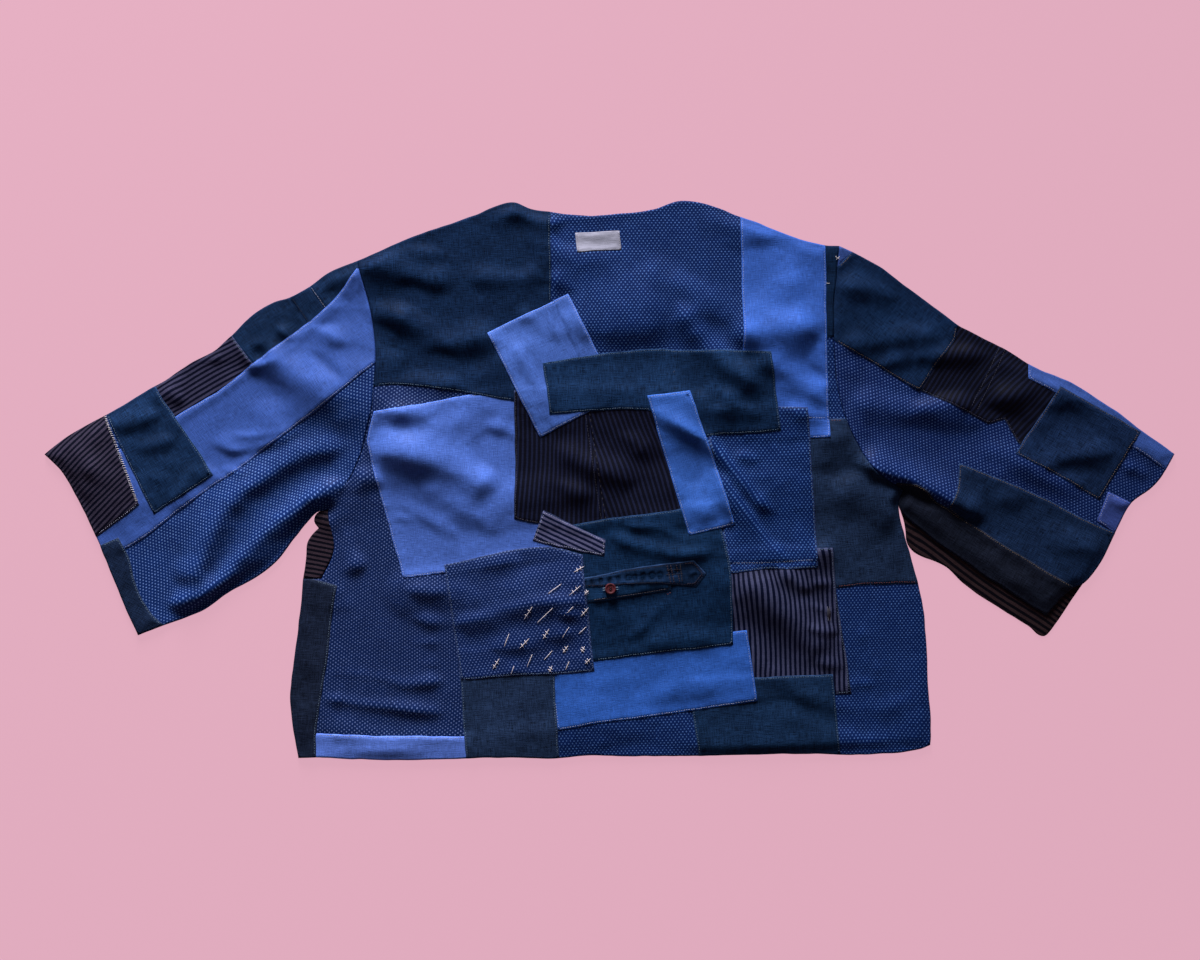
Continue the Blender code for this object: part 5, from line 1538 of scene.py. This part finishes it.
def sewn_lines():
    """The extra lines of stitches, the slanting ones over an edge, the buttonholes with a dark thread as painted
    shade in each slit, and the tacks.
    """
    random = np.random.default_rng(77)
    found = {}

    def keep(thread, radius, starts, ends):
        found.setdefault((thread, radius), []).append((starts, ends))

    for sewn in SEWN:
        line = traced(sewn.line, closed=False, step=1.5, corner=40.0)
        starts, ends = along_line(line, sewn.pitch, min(sewn.length, 0.9 * sewn.pitch), random)
        if len(starts) == 0:
            starts, ends = line[:1], line[-1:]
        cloth = cloths[sewn.on]
        both = [inside(cloth.edge.ring, places) & (cloth.edge.nearest(places)[0] > 0.6) for places in (starts, ends)]
        starts, ends = starts[both[0] & both[1]], ends[both[0] & both[1]]
        keep(sewn.thread, sewn.radius, on_top(cloth, starts), on_top(cloth, ends))
    for name, points, pitch, reach, thread in WHIPPED:
        line = traced(points, closed=False, step=1.5)
        starts, ends = along_line(line, pitch, 0.55 * pitch, random)
        run = ends - starts
        across = np.column_stack([-run[:, 1], run[:, 0]]) / np.hypot(*run.T)[:, None] * reach / 2
        keep(thread, THICK_THREAD, on_top(cloths[name], starts - across), on_top(cloths[name], ends + across))
    for name, middle, degrees, length, thread in BUTTONHOLES:
        turn = radians(degrees)
        along, across = np.array([cos(turn), sin(turn)]), np.array([-sin(turn), cos(turn)])
        places = np.array(middle) + np.arange(-length / 2, length / 2, 0.55)[:, None] * along
        for side in (-1, 1):
            keep(thread, THICK_THREAD, on_top(cloths[name], places + side * 0.5 * across),
                 on_top(cloths[name], places + side * 1.7 * across))
        # A thick near-black thread along each buttonhole's slit is painted shade in its opening.
        slit_shade = [np.array(middle) + share * length * along for share in (-0.42, 0.42)]
        keep("dark", 1.3, on_top(cloths[name], slit_shade[:1]), on_top(cloths[name], slit_shade[1:]))
    shoulder = cloths["strip_teal_shoulder"]
    for start, end in TACKS:
        keep("white", THICK_THREAD, on_top(shoulder, [start]), on_top(shoulder, [end]))
    for number, ((thread, radius), rows) in enumerate(found.items()):
        starts, ends = (np.concatenate([row[k] for row in rows]) for k in (0, 1))
        threads(f"sewn_lines_{thread}_{number}", starts, ends, STITCH_LIFT, radius, sewing[thread])


def add_button():
    """A four-hole button with a raised rim and the thread that holds it."""
    x, y = BUTTON_PLACE
    radius = BUTTON_RADIUS
    around = [(x + radius * cos(i * pi / 4), y + radius * sin(i * pi / 4)) for i in range(8)]
    rests = [
        max(float(cloth.heights(np.array([p]))[0][0]) for cloth in cloths.values() if inside(cloth.edge.ring, [p])[0])
        for p in [BUTTON_PLACE, *around]
    ]
    rest = 0.15 + 0.5 * (max(rests) + sum(rests) / len(rests))
    profile = [
        (0.0, 0.0), (radius - 0.8, 0.0), (radius - 0.2, 0.3), (radius, 0.8), (radius, 1.5),
        (radius - 0.15, 2.0), (radius - 0.6, 2.35), (radius - 1.1, 2.35), (radius - 1.5, 2.1),
        (radius - 1.9, 1.7), (radius - 2.6, 1.6),
    ]
    sides = 48
    vertices = [(0.0, 0.0, 0.0)]
    for r, z in profile[1:]:
        vertices += [(r * cos(tau * i / sides), r * sin(tau * i / sides), z) for i in range(sides)]
    faces = [(0, 1 + (i + 1) % sides, 1 + i) for i in range(sides)]
    for ring in range(len(profile) - 2):
        low = 1 + ring * sides
        for i in range(sides):
            j = (i + 1) % sides
            faces += [(low + i, low + j, low + sides + j), (low + i, low + sides + j, low + sides + i)]
    rim = len(vertices) - sides
    hole_sides = 12
    points = [vertices[rim + i][:2] for i in range(sides)]
    lines = closed_lines(sides)
    holes = []
    for k in range(4):
        turn = (k + 0.5) * pi / 2
        centre = (1.35 * cos(turn), 1.35 * sin(turn))
        first = len(points)
        hole = [(centre[0] + 0.6 * cos(tau * i / hole_sides), centre[1] + 0.6 * sin(tau * i / hole_sides))
                for i in range(hole_sides)]
        points += hole
        lines += closed_lines(hole_sides, first)
        holes.append(np.array(hole))
    plate, triangles = triangulated(points, lines, [np.array(points[:sides])])
    centres = plate[triangles].mean(axis=1)
    for hole in holes:
        keep = ~inside(hole, centres)
        triangles, centres = triangles[keep], centres[keep]
    first = len(vertices)
    vertices += [(px, py, 1.6) for px, py in plate]
    faces += [tuple(first + i for i in t) for t in triangles.tolist()]
    for hole in holes:
        first = len(vertices)
        for z in (1.6, 0.3):
            vertices += [(px, py, z) for px, py in hole]
        for i in range(hole_sides):
            j = (i + 1) % hole_sides
            faces += [(first + i, first + hole_sides + i, first + hole_sides + j),
                      (first + i, first + hole_sides + j, first + j)]
        bottom = len(vertices)
        vertices.append((*hole.mean(axis=0), 0.3))
        faces += [(bottom, first + hole_sides + (i + 1) % hole_sides, first + hole_sides + i)
                  for i in range(hole_sides)]
    vertices = np.array(vertices, float)
    mesh = mesh_of("button_resin", placed(vertices[:, :2] + np.array([x, y]), vertices[:, 2] + rest), faces)
    mesh.set_sharp_from_angle(angle=radians(38))
    shown("button_round", mesh, resin_material("button_resin_maroon", RESIN), "button")
    starts, ends = ([(x + reach, y + side * 0.95, rest + 1.75) for side in (-1, 1)] for reach in (-0.95, 0.95))
    threads("button_thread", starts, ends, 0.22, 0.32, thread_material("button_thread", BUTTON_THREAD),
            sides=8, dive=1.0)


# The tints of the panels below hold each panel's own colour and fade, and also painted shade: panels where the light
# falls weaker, such as those on the right and the pieces that show low down beside the sleeves, are made darker.
UNDERS = (
    # node, outline, cloth, tint, grain
    ("front_left", front_outline(-1), "dotted_indigo", 0.9, 0),
    ("front_right", front_outline(1), "dotted_indigo", 0.9, 2),
    ("sleeve_left_under", SLEEVE_LEFT, "dotted_indigo", 0.9, 35),
    ("sleeve_right_under", SLEEVE_RIGHT_UNDER, "grey_stripe", (0.60, 0.33, 0.19), -35),
)
PANELS = (
    # node, outline, limits, cloth, tint, grain, what it rests on
    ("side_piece_stripe", SIDE_PIECE, None, "grey_stripe", (0.75, 0.47, 0.34), -13.5, ["front_left_cloth"]),
    ("back_left", BACK, (-BEYOND, BACK_SEAM), "dotted_indigo", (0.67, 0.55, 0.54), 87, ["front_left_cloth"]),
    ("back_right", BACK, (BACK_SEAM, BEYOND), "dotted_indigo", (0.46, 0.56, 0.63), 2,
     ["front_left_cloth", "front_right_cloth"]),
    ("sleeve_left", SLEEVE_LEFT, None, "dotted_indigo", (0.79, 0.78, 0.80), 37, ["sleeve_left_under_cloth"]),
    ("sleeve_right", SLEEVE_RIGHT, None, "dotted_indigo", (0.49, 0.50, 0.57), -34, ["sleeve_right_under_cloth"]),
)
for panel in UNDERS:
    add_under(*panel)
for panel in PANELS:
    add_panel(*panel)
cloths = add_scraps()
add_darning()
sewn_lines()
add_button()


# ---------------------------------------------------------------------------------------------------
# Stage, light and camera


def shader(tree, kind, colour, **inputs):
    """A new shader of one colour."""
    node = tree.nodes.new(kind)
    for name, value in {"Color": (*colour, 1.0), **inputs}.items():
        node.inputs[name].default_value = value
    return node.outputs[0]


def surface(tree, output, lit, seen, share):
    """Mixes that share of seen into lit for camera, glossy and transmitted rays, and leaves the others lit."""
    path = tree.nodes.new("ShaderNodeLightPath")
    direct = path.outputs["Is Camera Ray"]
    for operation, value in (
        ("MAXIMUM", path.outputs["Is Glossy Ray"]), ("MAXIMUM", path.outputs["Is Transmission Ray"]),
        ("MULTIPLY", share),
    ):
        step = tree.nodes.new("ShaderNodeMath")
        step.operation = operation
        tree.links.new(direct, step.inputs[0])
        if isinstance(value, float):
            step.inputs[1].default_value = value
        else:
            tree.links.new(value, step.inputs[1])
        direct = step.outputs[0]
    mixed = tree.nodes.new("ShaderNodeMixShader")
    for socket, given in zip(mixed.inputs, (direct, lit, seen)):
        tree.links.new(given, socket)
    tree.links.new(mixed.outputs[0], tree.nodes.new(output).inputs["Surface"])


def add_floor():
    """The pink surface, a little under the jacket."""
    size, z = 6.0, -0.0004
    mesh = bpy.data.meshes.new("floor")
    mesh.from_pydata([(-size, -size, z), (size, -size, z), (size, size, z), (-size, size, z)], [], [(0, 1, 2, 3)])
    floor = bpy.data.objects.new("floor", mesh)
    bpy.context.scene.collection.objects.link(floor)
    material = bpy.data.materials.new("floor_pink")
    material.use_nodes = True
    tree = material.node_tree
    tree.nodes.clear()
    diffuse = shader(tree, "ShaderNodeBsdfDiffuse", FLOOR)
    glow = shader(tree, "ShaderNodeEmission", FLOOR)
    surface(tree, "ShaderNodeOutputMaterial", diffuse, glow, 0.94)
    mesh.materials.append(material)


def add_world(fill):
    """Soft light from all round, with the floor's colour behind it."""
    world = bpy.data.worlds.new("studio")
    bpy.context.scene.world = world
    world.use_nodes = True
    tree = world.node_tree
    tree.nodes.clear()
    soft_light = shader(tree, "ShaderNodeBackground", (1.0, 0.97, 0.96), Strength=fill)
    backdrop = shader(tree, "ShaderNodeBackground", FLOOR, Strength=1.0)
    surface(tree, "ShaderNodeOutputWorld", soft_light, backdrop, 1.0)


def add_lamp(name, azimuth, elevation, turned, distance, size, power):
    """A square lamp that faces the jacket, but for a turn about the vertical."""
    data = bpy.data.lights.new(name, "AREA")
    data.shape = "SQUARE"
    data.size = size
    data.energy = power
    data.color = (1.0, 0.985, 0.96)
    lamp = bpy.data.objects.new(name, data)
    turn, rise = radians(azimuth), radians(elevation)
    away = Vector((cos(turn) * cos(rise), sin(turn) * cos(rise), sin(rise)))
    lamp.location = away * distance
    facing = away.copy()
    facing.rotate(Euler((0.0, 0.0, radians(turned))))
    lamp.rotation_euler = facing.to_track_quat("Z", "Y").to_euler()
    bpy.context.scene.collection.objects.link(lamp)


def add_camera():
    """Looks straight down from two metres, and sees 1.2 m across at the cloth's height."""
    data = bpy.data.cameras.new("camera")
    data.sensor_width = 36.0
    height, view_width, cloth_height = 2.0, 1.2, 0.006
    data.lens = data.sensor_width * (height - cloth_height) / view_width
    camera = bpy.data.objects.new("camera", data)
    camera.location = (-0.0095, 0.0, height)
    bpy.context.scene.collection.objects.link(camera)
    bpy.context.scene.camera = camera


add_floor()
add_world(0.07)
add_lamp("key", 99, 20, -65, 4.0, 1.5, 900)
add_camera()
bpy.context.scene.view_settings.view_transform = "Standard"
